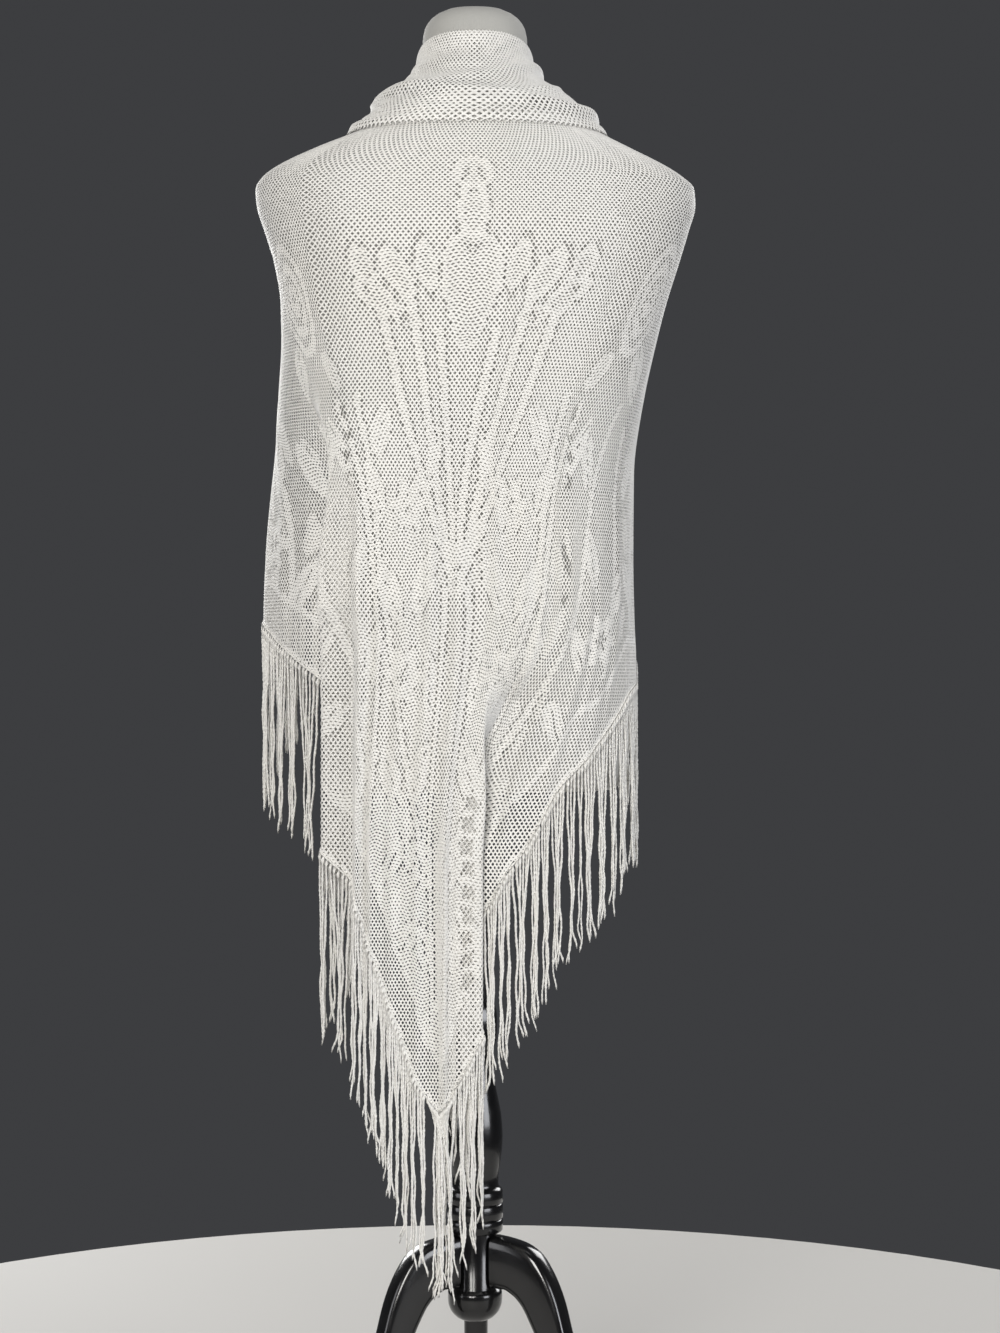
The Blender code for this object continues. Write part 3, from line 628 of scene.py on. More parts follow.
# The net itself: rows of looped yarn with a diamond hole between every two rows of crossings.
# Holes are 3.2 mm apart along a slack row, up to 4.5 mm where the cloth is stretched over the
# shoulders, and rows are 2.85 mm apart: the sizes that show on the real knitting.
HOLE_PITCH = 0.0032
ROW_PITCH = 0.00285
SHOULDER_ROWS = 44
LOWEST_HEM = 0.352
shoulder_rows = np.linspace(BODY_TOP, SHOULDER_FREE, SHOULDER_ROWS, endpoint=False)
lower_rows = np.arange(SHOULDER_FREE, LOWEST_HEM - 2 * ROW_PITCH, -ROW_PITCH)
row_heights = np.concatenate([shoulder_rows, lower_rows])
# The columns are spaced by the cloth's run as it hangs, the mean of two heights
RUN_HEIGHTS = (0.60, 0.92)
SPARE = 0.040  # cloth beyond each end that the columns are worked out for
fine = np.linspace(LEFT_END - SPARE, RIGHT_END + SPARE, 5001)
run = np.zeros(len(fine))
for height in RUN_HEIGHTS:
    x, y = cloth_section(height, fine)
    run += summed(np.hypot(np.diff(x), np.diff(y))) / len(RUN_HEIGHTS)
run -= np.interp(0.0, fine, run)
ends = np.interp([LEFT_END, RIGHT_END], fine, run) / (HOLE_PITCH / 2)
first_column, last_column = (int(round(end)) for end in ends)
columns = np.arange(first_column - 2, last_column + 3)
column_widths = np.interp(columns * HOLE_PITCH / 2, run, fine)
drape = np.zeros((len(row_heights), len(columns), 3))
for row, height in enumerate(row_heights):
    drape[row, :, 0], drape[row, :, 1] = cloth_section(height, column_widths)
    drape[row, :, 2] = height


def unit(directions):
    """Directions made one long."""
    return directions / np.linalg.norm(directions, axis=-1, keepdims=True)


def facing_of(grid):
    """The direction that a grid of points faces at each of them."""
    return unit(np.cross(np.gradient(grid, axis=0), np.gradient(grid, axis=1)))


facing = facing_of(drape)


def between(grid, rows, sides):
    """Values of a grid at places between its lines."""
    low_row = np.clip(np.floor(rows).astype(int), 0, grid.shape[0] - 2)
    low_side = np.clip(np.floor(sides).astype(int), 0, grid.shape[1] - 2)
    down = np.clip(rows - low_row, 0.0, 1.0)[:, None]
    over = np.clip(sides - low_side, 0.0, 1.0)[:, None]
    above = grid[low_row, low_side] * (1 - over) + grid[low_row, low_side + 1] * over
    below = grid[low_row + 1, low_side] * (1 - over) + grid[low_row + 1, low_side + 1] * over
    return above * (1 - down) + below * down


def hem_height(width):
    """The hem's height at cloth widths."""
    size = np.abs(width)
    return np.where(width < 0, read(LEFT_HEM, 3, size), read(RIGHT_HEM, 3, size))


def row_of(height):
    """The row, with its fraction, that lies at a height."""
    return np.interp(-height, -row_heights, np.arange(len(row_heights)))


# Each row of a motif: kind, width from the tail's middle, height, half width, half length, and its
# tilt in degrees
MOTIFS = (
    ("petal", 0.000, 1.122, 0.0125, 0.0300, 0),
    ("petal", 0.000, 1.155, 0.0170, 0.0150, 0),
    ("vase", 0.000, 1.050, 0.0265, 0.0520, 0),
    ("petal", 0.040, 1.073, 0.0090, 0.0230, -14),
    ("petal", 0.066, 1.066, 0.0105, 0.0260, -30),
    ("petal", 0.088, 1.048, 0.0100, 0.0260, -52),
    ("petal", 0.098, 1.074, 0.0095, 0.0200, -22),
    ("petal", 0.060, 1.030, 0.0080, 0.0170, -66),
    ("rosette", 0.062, 0.868, 0.0250, 0.0250, 0),
    ("leaf", 0.094, 0.930, 0.0110, 0.0300, 28),
    ("leaf", 0.108, 0.880, 0.0105, 0.0300, -18),
    ("leaf", 0.030, 0.905, 0.0080, 0.0300, 10),
    ("leaf", 0.042, 0.800, 0.0130, 0.0350, 24),
    ("leaf", 0.088, 0.792, 0.0130, 0.0330, -32),
    ("rosette", 0.066, 0.722, 0.0270, 0.0270, 0),
    ("leaf", 0.030, 0.716, 0.0100, 0.0320, -8),
    ("leaf", 0.110, 0.742, 0.0110, 0.0300, 12),
    ("leaf", 0.034, 0.640, 0.0120, 0.0330, 22),
    ("leaf", 0.074, 0.636, 0.0130, 0.0320, -30),
    ("leaf", 0.110, 0.640, 0.0110, 0.0280, 26),
    ("rosette", 0.030, 0.562, 0.0190, 0.0230, 0),
    ("leaf", 0.066, 0.566, 0.0110, 0.0270, 32),
    ("leaf", 0.022, 0.492, 0.0095, 0.0260, -16),
    ("leaf", 0.045, 0.500, 0.0085, 0.0210, 34),
    ("vase", 0.000, 0.412, 0.0130, 0.0340, 0),
    ("ear", 0.185, 1.050, 0.0240, 0.0520, -6),
    ("leaf", 0.212, 0.985, 0.0120, 0.0300, 26),
    ("leaf", 0.150, 0.915, 0.0100, 0.0340, -24),
    ("leaf", 0.172, 0.905, 0.0090, 0.0300, 20),
    ("petal", 0.150, 0.985, 0.0080, 0.0200, -34),
    ("rosette", 0.212, 0.752, 0.0270, 0.0250, 0),
    ("leaf", 0.176, 0.742, 0.0100, 0.0270, 36),
    ("leaf", 0.168, 0.682, 0.0100, 0.0250, 40),
    ("leaf", 0.240, 0.792, 0.0100, 0.0270, -30),
    ("leaf", 0.190, 0.820, 0.0110, 0.0290, 14),
    ("ear", 0.345, 1.010, 0.0240, 0.0500, 8),
    ("rosette", 0.318, 0.838, 0.0270, 0.0250, 0),
    ("leaf", 0.275, 0.800, 0.0110, 0.0280, 34),
    ("leaf", 0.362, 0.858, 0.0110, 0.0270, -34),
    ("leaf", 0.305, 0.905, 0.0110, 0.0300, 16),
    ("petal", 0.262, 0.900, 0.0090, 0.0250, -20),
    ("petal", 0.385, 0.930, 0.0090, 0.0250, 24),
    ("rosette", 0.430, 0.945, 0.0250, 0.0230, 0),
    ("leaf", 0.470, 1.010, 0.0110, 0.0280, -26),
    ("leaf", 0.420, 1.030, 0.0110, 0.0290, 12),
)
# Each row of a stem: width from the tail's middle and height of its foot, the same of its tip, how
# far it bows out, and its half width
STEMS = (
    (0.004, 0.800, 0.084, 1.040, 0.020, 0.0048),
    (0.004, 0.790, 0.056, 1.052, 0.008, 0.0044),
    (0.003, 0.820, 0.028, 1.020, 0.000, 0.0040),
    (0.010, 0.440, 0.014, 0.800, 0.004, 0.0030),
    (0.022, 0.560, 0.118, 0.965, 0.030, 0.0035),
    (0.104, 0.600, 0.142, 0.960, -0.012, 0.0032),
    (0.120, 0.640, 0.205, 0.960, 0.014, 0.0035),
    (0.225, 0.720, 0.228, 0.940, 0.010, 0.0032),
    (0.290, 0.780, 0.330, 0.960, -0.010, 0.0035),
    (0.380, 0.860, 0.452, 0.985, 0.010, 0.0035),
)
OUTLINE = 0.0034  # the row of large holes round a motif
RIM = 0.0052  # the closely knitted band just inside it, narrower on small petals
SMALL_PETAL = 0.014  # petals of a smaller half width have a rim as much narrower
EAR_BAND = 0.0085  # one close band of an ear with the plain one beside it
LEAF_RIB = 0.0011  # half the width of the holes down a leaf's middle
LEAF_TIP = 0.002  # how far inside the leaf they start
ROSETTE_HEART = 0.60  # the depth from which a rosette is open
CLUSTER_HALF = 0.0044  # half the width of the clusters of largest holes down the tail
CLUSTER_LINE = (0.0390, 0.44, 0.625)  # their width from the tail's middle, lowest and highest place
BESIDE_HALF = 0.0040
BESIDE_LINE = (0.1400, 0.78, 0.965)
SIDES_FROM = 0.16  # wider than this the cloth hangs round the body's sides
BORDER = 0.036  # the plain open border along both short edges
BORDER_LINE = 0.005
EDGE_LINE = 0.0036  # the close rows along the crocheted edge


def motif_depth(kind, side, up, half, long, tilt):
    """How far inside a motif each place is, in shares of its half width; below 0 outside."""
    turn = math.radians(tilt)
    across = side * math.cos(turn) + up * math.sin(turn)
    along = -side * math.sin(turn) + up * math.cos(turn)
    out = np.hypot(across / half, along / long)
    if kind == "rosette":
        spin = np.arctan2(along / long, across / half)
        return 0.80 + 0.20 * np.cos(6.0 * spin) - out
    if kind == "leaf":
        pointed = np.abs(across) / (half * np.clip(1.0 - (along / long) ** 2, 0.02, 1.0))
        return np.where(np.abs(along) < long, 1.0 - pointed, -1.0)
    if kind == "vase":
        wide = np.clip(0.30 + 0.95 * (along / long + 1.0) / 1.5, 0.05, 1.0)
        foot_and_lip = np.clip(along / long, -1.0, 1.0) ** 3
        return 1.0 - np.hypot(across / (half * wide), foot_and_lip) - (np.abs(along) > long)
    return 1.0 - out


def knitted_ground(width, height):
    """How each hole is drawn: half width and half height as shares of its cell.

    It also gives where the rows run in waves. The sines only make lines wander and break, so that
    no pattern repeats like a print.
    """
    size = np.abs(width)
    dense, large, scallop = np.zeros((3, len(width)), bool)
    # Clusters of the largest holes run down the tail to the right of its middle, and down both
    # sides of the back beside the leaves
    middle, low, high = CLUSTER_LINE
    ladder = np.abs(width - middle - 0.0015 * np.sin(height * 260.0)) < CLUSTER_HALF
    ladder &= (height > low) & (height < high) & (np.sin(height * 330.0) > -0.5)
    middle, low, high = BESIDE_LINE
    beside = np.abs(size - middle - 0.0065 * np.sin(height * 72.0)) < BESIDE_HALF
    beside &= np.sin(height * 190.0 + 4.0 * np.sin(height * 41.0)) > 0.30
    ladder |= beside & (height > low) & (height < high)
    for kind, middle, level, half, long, tilt in MOTIFS:
        depth = motif_depth(kind, size - middle, height - level, half, long, tilt)
        edge = depth * half
        inside = edge > 0
        large |= (np.abs(edge + OUTLINE / 2) < OUTLINE / 2) & (edge < 0)
        if kind in ("vase", "petal"):
            band = RIM if kind == "vase" else RIM * min(1.0, half / SMALL_PETAL)
            scallop |= edge > band
            dense |= inside & (edge <= band)
        elif kind == "ear":
            dense |= inside & (np.sin(edge * 2.0 * math.pi / EAR_BAND) > -0.1)
        elif kind == "leaf":
            turn = math.radians(tilt)
            rib = np.abs((size - middle) * math.cos(turn) + (height - level) * math.sin(turn))
            large |= (edge > LEAF_TIP) & (rib < LEAF_RIB)
            dense |= inside & (rib >= LEAF_RIB)
        else:
            heart = depth > ROSETTE_HEART
            ladder |= heart & (size > SIDES_FROM)
            large |= heart
            dense |= inside & ~heart
    # An outline is not knitted all the way round: only about half of its holes are opened
    broken = np.sin(size * 410.0 + height * 170.0) + 0.6 * np.sin(height * 2300.0 + size * 900.0)
    large &= broken <= 0.1
    for foot, low, tip, high, bow, half in STEMS:
        share = np.clip((height - low) / (high - low), 0.0, 1.0)
        line = foot + (tip - foot) * share**1.3 + bow * np.sin(math.pi * share)
        off = np.abs(size - line)
        inside = (height > low) & (height < high)
        dense |= inside & (off < half)
        large |= inside & (off >= half) & (off < half + OUTLINE * 0.8)
    # Filled ground low on the tail and between the motifs, in waves
    wave = np.sin(size * 210.0 + 2.4 * np.sin(height * 46.0)) + np.sin(height * 88.0 - size * 60.0)
    low_ground = ease((0.90 - height) / 0.10) * ease((SIDES_FROM - size) / 0.05)
    low_ground = np.maximum(low_ground, 1.8 * ease((0.63 - height) / 0.05))
    filled = (wave > 0.75 - 0.85 * low_ground) & (height < 1.0) & ~large
    filled &= (low_ground > 0.1) | ((size > 0.25) & (height < 0.95))
    hem = hem_height(width)
    lean = np.abs(hem_height(width + 0.006) - hem_height(width - 0.006)) / 0.012
    to_hem = (height - hem) / np.sqrt(1.0 + np.minimum(lean, 1.4) ** 2)
    border = to_hem < BORDER
    line = np.abs(to_hem - BORDER - BORDER_LINE / 2) < BORDER_LINE / 2
    # The plain ground is drawn open over the shoulder blades and between the fan's stems, and is
    # slack and close below the torso
    stretched = 0.10 * ease((size - 0.10) / 0.05) * ease((height - 0.58) / 0.10)
    at_side = ease((size - 0.20) / 0.05) * ease((0.36 - size) / 0.04)
    stretched = stretched + 0.05 * at_side * ease((SHOULDER_FREE - height) / 0.06)
    fan = 0.02 * ease((height - 0.92) / 0.04) * ease((1.06 - height) / 0.04) * ease((0.11 - size) / 0.03)
    slack = 0.10 * ease((0.64 - height) / 0.05)
    half_wide = 0.60 + np.maximum(stretched, fan) - slack
    half_high = 0.43 + np.maximum(stretched, fan) - slack
    # Each row: where, half width, half height; a later row has its way where two meet
    for mask, wide, high in (
        (filled, 0.86, 0.24),
        (dense, 0.82, 0.18),
        (scallop, 0.84, 0.28),
        (large & ~dense, 0.74, 0.57),
        (line, 0.72, 0.22),
        (ladder, 0.84, 0.74),
        (border & ~line, 0.68, 0.50),
        (to_hem < EDGE_LINE, 0.50, 0.18),
    ):
        half_wide = np.where(mask, wide, half_wide)
        half_high = np.where(mask, high, half_high)
    return half_wide, half_high, (filled | dense | scallop) & ~border


def knit(name, surface, openings, holes, crossing, recess, material, wrap=0):
    """A net as a mesh: each hole is a small diamond inside the diamond of its four crossings.

    holes are the holes' rows and columns. crossing(row, column) gives a crossing's place in the
    lattice, and surface(rows, columns) turns places into points and outward directions.
    """
    rows, sides = holes
    half_wide, half_high = openings
    corners = []
    keys = []
    for down, over in ((-1, 0), (0, -1), (1, 0), (0, 1)):
        corners.append(np.column_stack(crossing(rows + down, sides + over)))
        named = (sides + over) % wrap if wrap else sides + over
        # One number for a crossing, whichever of its four holes asks for it
        keys.append((rows + down + 2) * 10000 + named + 1000)
    corners = np.array(corners, float)
    middle = corners.mean(axis=0)
    shares = np.array([half_high, half_wide, half_high, half_wide])[:, :, None]
    rims = middle + (corners - middle) * shares
    known, first, index = np.unique(np.concatenate(keys), return_index=True, return_inverse=True)
    crossings = corners.reshape(-1, 2)[first]
    top, out = surface(crossings[:, 0], crossings[:, 1])
    flat_rims = rims.reshape(-1, 2)
    low, inward = surface(flat_rims[:, 0], flat_rims[:, 1])
    points = np.concatenate([top, low - inward * np.tile(recess, 4)[:, None]])
    count = len(rows)
    outer = index.reshape(4, count)
    inner = len(known) + np.arange(4 * count).reshape(4, count)
    faces = []
    for corner in range(4):
        after = (corner + 1) % 4
        faces.append(np.stack([outer[corner], outer[after], inner[after], inner[corner]], axis=1))
    faces = np.concatenate(faces)
    mesh = bpy.data.meshes.new(name)
    mesh.vertices.add(len(points))
    mesh.vertices.foreach_set("co", points.astype(np.float32).ravel())
    mesh.loops.add(faces.size)
    mesh.loops.foreach_set("vertex_index", faces.astype(np.int32).ravel())
    mesh.polygons.add(len(faces))
    mesh.polygons.foreach_set("loop_start", np.arange(0, faces.size, 4, dtype=np.int32))
    mesh.update(calc_edges=True)
    return placed(mesh, material)


# Viscose and cotton yarn, two plies, washed soft: warm white with a dull lustre on each loop.
# The plies are really 0.6 mm wide and are drawn as a bump 0.9 mm long. The same noise paints
# shade into the colour where the bump is low, between the plies.
yarn, tree, shader = new_material("viscose_cotton_yarn_knitted")
where = add_node(tree, "ShaderNodeTexCoord", {})
clouds = add_node(tree, "ShaderNodeTexNoise", {"Vector": (where, "Object"), "Scale": 9.0, "Detail": 3.0})
tint = add_node(
    tree,
    "ShaderNodeMix",
    {"Factor": (clouds, "Fac"), MIX_A: linear("#E4E3E0"), MIX_B: linear("#EBE8E1")},
    data_type="RGBA",
)
plies = add_node(tree, "ShaderNodeTexNoise", {"Vector": (where, "Object"), "Scale": 1100.0, "Detail": 2.0})
# Painted shade: the colour is darkened to 0.86 where the ply bump is low, between the plies
shadow = add_node(
    tree,
    "ShaderNodeMapRange",
    {"Value": (plies, "Fac"), "From Min": 0.3, "From Max": 0.7, "To Min": 0.86, "To Max": 1.0},
)
shaded = add_node(
    tree,
    "ShaderNodeMix",
    {"Factor": 1.0, MIX_A: (tint, MIXED), MIX_B: (shadow, "Result")},
    data_type="RGBA",
    blend_type="MULTIPLY",
)
relief = add_node(
    tree, "ShaderNodeBump", {"Height": (plies, "Fac"), "Strength": 0.5, "Distance": 0.0004}
)
tree.links.new(shaded.outputs[MIXED], shader.inputs["Base Color"])
tree.links.new(relief.outputs["Normal"], shader.inputs["Normal"])
shader.inputs["Roughness"].default_value = 0.55
shader.inputs["Sheen Weight"].default_value = 0.2
shader.inputs["Sheen Roughness"].default_value = 0.4

hem_rows = row_of(hem_height(column_widths))
random = np.random.default_rng(11)
UNEVEN = 0.05  # how far hand-knitted crossings wander, in shares of a cell
wander = random.uniform(-UNEVEN, UNEVEN, (2, len(row_heights) + 4, len(columns) + 4))
# In filled ground the rows run in waves about 30 mm long, where the stitch count changes. The
# waves fade out over a few holes round it.
WAVE_LENGTH = 0.0300
WAVE_ROWS = 0.55
FADING = 3
lattice_rows, lattice_sides = np.meshgrid(np.arange(len(row_heights)), columns, indexing="ij")
flat_widths = column_widths[lattice_sides.ravel() - columns[0]]
flat_heights = row_heights[lattice_rows.ravel()]
_, _, waving = knitted_ground(flat_widths, flat_heights)
waving = waving.reshape(lattice_rows.shape).astype(float)
for _ in range(FADING):
    padded = np.pad(waving, 1, mode="edge")
    waving = (padded[:-2, 1:-1] + padded[2:, 1:-1] + padded[1:-1, :-2] + padded[1:-1, 2:] + waving) / 5
swell = np.sin(np.abs(flat_widths) * 2 * math.pi / WAVE_LENGTH + 3.0 * np.sin(flat_heights * 31.0))
wave_grid = WAVE_ROWS * waving * swell.reshape(lattice_rows.shape)


def body_crossing(rows, sides):
    """A crossing of the shawl's body, moved by the waves and held above the hem."""
    over = sides - columns[0]
    at = np.clip(rows, 0, len(row_heights)), np.clip(over, 0, len(columns))
    near = np.clip(rows, 0, len(row_heights) - 1), np.clip(over, 0, len(columns) - 1)
    row = rows + wander[0][at] + wave_grid[near]
    side = over + wander[1][at]
    return np.minimum(np.clip(row, 0.0, None), np.interp(side, np.arange(len(columns)), hem_rows)), side


def body_surface(rows, sides):
    """Points of the draped cloth and their outward directions."""
    return between(drape, rows, sides), unit(between(facing, rows, sides))


YARN_RELIEF = 0.00055  # how far a hole's rim lies under the yarn's crest
FILLED_RELIEF = 0.00085
SIDE_FLATNESS = 0.6  # share of the relief lost where the cloth is pulled round the sides
HALVES_MEET = -0.020  # the back's two nets meet here, off the middle so that no motif is halved
UNEVEN_HOLES = (0.92, 1.08)


def holes_between(rows, sides):
    """The rows and columns of the holes: every second place of a lattice."""
    rows, sides = (part.ravel() for part in np.meshgrid(rows, sides, indexing="ij"))
    kept = (rows + sides) % 2 == 1
    return rows[kept], sides[kept]


hole_rows, hole_sides = holes_between(
    np.arange(1, len(row_heights) - 1), np.arange(first_column, last_column + 1)
)
kept = hole_rows < hem_rows[hole_sides - columns[0]]
hole_rows = hole_rows[kept]
hole_sides = hole_sides[kept]
hole_widths = column_widths[hole_sides - columns[0]]
for name, node, start, end in (
    ("shawl_net_front_left", "shawl_front_left", LEFT_END - SPARE, LEFT_SIDE),
    ("shawl_net_back_left", "shawl_back", LEFT_SIDE, HALVES_MEET),
    ("shawl_net_back_right", "shawl_back", HALVES_MEET, RIGHT_SIDE),
    ("shawl_net_front_right", "shawl_front_right", RIGHT_SIDE, RIGHT_END + SPARE),
):
    here = (hole_widths >= start) & (hole_widths < end)
    half_wide, half_high, filled = knitted_ground(hole_widths[here], row_heights[hole_rows[here]])
    loose = random.uniform(*UNEVEN_HOLES, (2, here.sum()))
    openings = np.clip(np.array([half_wide, half_high]) * loose, 0.05, 0.90)
    holes = (hole_rows[here], hole_sides[here])
    at_side = ease((np.abs(hole_widths[here]) - SIDES_FROM) / 0.06)
    recess = np.where(filled, FILLED_RELIEF, YARN_RELIEF) * (1.0 - SIDE_FLATNESS * at_side)
    made = knit(name, body_surface, openings, holes, body_crossing, recess, yarn)
    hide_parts(node)

# The neck roll: the shawl's ends, crossed on the chest and wound round the neck as a soft cowl.
# The cloth is doubled there, its upper edge is a fold, and slack rolls run slantwise round it.
ROLL_COLUMNS = 236  # half pitches round the neck, an even number
ROLL_ROWS = 52
# Each row: height behind, left, right, back, front, how much lower the front lies, and the sides
COLLAR_RINGS = (
    (1.2660, 0.0478, 0.0478, 0.0478, 0.0478, 0.004, 0.012),
    (1.2800, 0.0486, 0.0486, 0.0486, 0.0486, 0.002, 0.014),
    (1.2880, 0.0494, 0.0494, 0.0494, 0.0494, 0.001, 0.015),
    (1.2905, 0.0508, 0.0508, 0.0506, 0.0508, 0.000, 0.015),
    (1.2880, 0.0522, 0.0522, 0.0518, 0.0524, 0.001, 0.015),
    (1.2740, 0.0545, 0.0540, 0.0535, 0.0555, 0.004, 0.012),
    (1.2600, 0.0595, 0.0585, 0.0605, 0.0625, 0.009, 0.006),
    (1.2510, 0.0655, 0.0660, 0.0665, 0.0705, 0.015, 0.002),
    (1.2430, 0.0750, 0.0775, 0.0735, 0.0795, 0.020, 0.000),
    (1.2360, 0.0850, 0.0880, 0.0790, 0.0885, 0.026, 0.000),
    (1.2280, 0.0905, 0.0970, 0.0820, 0.0965, 0.031, 0.000),
    (1.2210, 0.0965, 0.1045, 0.0826, 0.1035, 0.035, 0.000),
    (1.2140, 0.1040, 0.1110, 0.0816, 0.1070, 0.038, 0.000),
    (1.2080, 0.1110, 0.1155, 0.0812, 0.1075, 0.040, 0.000),
    (1.2020, 0.1185, 0.1215, 0.0812, 0.1050, 0.042, 0.000),
)
# Each row: place down the roll behind, slant, where the slant peaks in degrees, half width, height
ROLLS = (
    (7.4, 2.0, 275, 0.62, 0.0046),
    (9.8, 1.5, 95, 0.56, 0.0040),
    (11.8, 0.9, 300, 0.50, 0.0034),
    (13.1, 0.3, 10, 0.40, 0.0016),
    (5.8, 0.5, 60, 0.45, 0.0018),
    (6.5, 1.2, 200, 0.32, 0.0018),
    (8.7, 1.7, 320, 0.30, 0.0020),
    (10.8, 1.3, 40, 0.32, 0.0022),
    (12.4, 0.8, 130, 0.28, 0.0015),
)
ROLLS_FROM = 4.4  # the place where the rolls rise out of the upper fold
ROLLS_TO = 14.2  # where they have sunk into the cloth below
ROLLS_RUN = 1.2
UNEVEN_ROLL_HOLES = (0.88, 1.12)
steps = np.column_stack([np.arange(len(COLLAR_RINGS)), np.array(COLLAR_RINGS)])
fine = np.linspace(0.0, len(COLLAR_RINGS) - 1.0, 400)
mean_radius = sum(read(steps, column, fine) for column in (2, 3, 4, 5)) / 4
run = summed(np.hypot(np.diff(mean_radius), np.diff(read(steps, 1, fine))))
roll_places = np.interp(np.linspace(0.0, run[-1], ROLL_ROWS), run, fine)
turns = np.arange(ROLL_COLUMNS + 1) * 2.0 * math.pi / ROLL_COLUMNS
roll = np.zeros((ROLL_ROWS, ROLL_COLUMNS + 1, 3))
for row, place in enumerate(roll_places):
    height, left, right, back, front, drop, slope = (float(read(steps, c, place)) for c in range(1, 8))
    roll[row, :, 0], roll[row, :, 1] = rounded(turns, left, right, back, front)
    roll[row, :, 1] += WHOLE_SHIFT_Y
    lower = slope * (1.0 - np.cos(turns)) ** 1.2 + drop * np.maximum(0.0, -np.cos(turns)) ** 3
    roll[row, :, 2] = height - lower
roll_facing = facing_of(roll)
puff = np.zeros(roll.shape[:2])
for middle, slant, peak, half, rise in ROLLS:
    crest = middle + slant * np.cos(turns - math.radians(peak))
    off = (roll_places[:, None] - crest[None, :]) / half
    puff += rise * np.exp(-(off**2)) * (0.75 + 0.25 * np.sin(2.0 * turns + peak))
held = ease((roll_places - ROLLS_FROM) / ROLLS_RUN) * ease((ROLLS_TO - roll_places) / ROLLS_RUN)
roll += roll_facing * (puff * held[:, None])[:, :, None]
roll_facing = facing_of(roll)


def roll_crossing(rows, sides):
    """A crossing of the neck roll's net."""
    return rows.astype(float), sides.astype(float)


def roll_surface(rows, sides):
    """Points of the neck roll and their outward directions, round a closed ring."""
    turned_sides = np.mod(sides, ROLL_COLUMNS)
    return between(roll, rows, turned_sides), unit(between(roll_facing, rows, turned_sides))


hole_rows, hole_sides = holes_between(np.arange(1, ROLL_ROWS - 1), np.arange(ROLL_COLUMNS))
loose = random.uniform(*UNEVEN_ROLL_HOLES, (2, len(hole_rows)))
# The holes open and close in soft bands that wander round the neck
around_neck = hole_sides * 2 * math.pi / ROLL_COLUMNS
band = 0.5 + 0.5 * np.sin(hole_rows * 0.42 + 1.6 * np.sin(around_neck) + 0.8 * np.sin(3 * around_neck))
openings = np.array([0.58 * loose[0], (0.36 + 0.18 * band) * loose[1]])
recess = np.full(len(hole_rows), YARN_RELIEF)
name = "shawl_net_neck_roll"
holes = (hole_rows, hole_sides)
neck_roll = knit(name, roll_surface, openings, holes, roll_crossing, recess, yarn, ROLL_COLUMNS)
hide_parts("shawl_neck_roll")

# The edging: one crocheted chain along both short edges, in the shawl's own yarn. It keeps them
# from stretching, and the fringe is knotted through it.
EDGING_RADIUS = 0.0009
EDGING_STEP = 0.0016
EDGING_SIDES = 6
EDGING_STITCH = 0.0045
EDGING_SWELL = 0.22  # how much a stitch is thicker than the chain between two
EDGING_TWIST = 300.0  # radians a metre


def hem_points(widths):
    """Points of the hem and the outward directions there."""
    sides = np.interp(widths, column_widths, np.arange(len(columns)))
    return body_surface(np.interp(sides, np.arange(len(columns)), hem_rows), sides)


def tube(path, radii, spins, flatness, sides):
    """Rings round a path: each an ellipse, turned by its spin, in the plane square to the path."""
    along = unit(np.gradient(path, axis=0))
    helper = np.where(np.abs(along[:, 2:3]) > 0.8, [[1.0, 0.0, 0.0]], [[0.0, 0.0, 1.0]])
    first = unit(np.cross(along, helper))
    second = np.cross(along, first)
    around = np.linspace(0.0, 2.0 * math.pi, sides, endpoint=False)
    wide = np.cos(around)[None, :] * radii[:, None] * flatness
    thin = np.sin(around)[None, :] * radii[:, None] / flatness
    cos = np.cos(spins)[:, None]
    sin = np.sin(spins)[:, None]
    over = (wide * cos - thin * sin)[:, :, None] * first[:, None, :]
    up = (wide * sin + thin * cos)[:, :, None] * second[:, None, :]
    return path[:, None, :] + over + up


def tubes(name, all_rings, material):
    """Many closed tubes as one mesh. Each is an array of rings with the same number of sides."""
    points = [rings.reshape(-1, 3) for rings in all_rings]
    faces = []
    base = 0
    for rings in all_rings:
        faces += [[base + corner for corner in face] for face in stacked(rings)]
        base += rings.shape[0] * rings.shape[1]
    return add_piece(name, np.concatenate(points), faces, material)


edging_widths = np.linspace(LEFT_END, RIGHT_END, 1500)
hem_path, _ = hem_points(edging_widths)
way = summed(np.linalg.norm(np.diff(hem_path, axis=0), axis=1))
spots = np.arange(0.0, way[-1], EDGING_STEP)
chain_widths = np.interp(spots, way, edging_widths)
chain, _ = hem_points(chain_widths)
bead = EDGING_RADIUS * (1.0 + EDGING_SWELL * np.sin(spots * 2 * math.pi / EDGING_STITCH))
rings = tube(chain, bead, spots * EDGING_TWIST, 1.15, EDGING_SIDES)
edging = tubes("shawl_crochet_edging", [rings], yarn)

# The fringe: strands of two-ply yarn, each knotted through the edging with a lark's head and
# left to hang. Handling has twisted them together here and there, and their ends are loose.
STRAND_PITCH = 0.0046
STRAND_LENGTH = 0.158
STRAND_RADIUS = 0.00112
STRAND_PLY = 0.0110  # length of one turn of the two plies; drawn longer than the real 5 mm
STRAND_FLATNESS = 1.2  # two plies side by side are wider than they are thick
STRAND_TAPER = 0.22
STRAND_STEPS = 40
STRAND_SIDES = 5
KNOT_AT = 0.0045
KNOT_HALF = 0.0024
KNOT_SWELL = 0.55
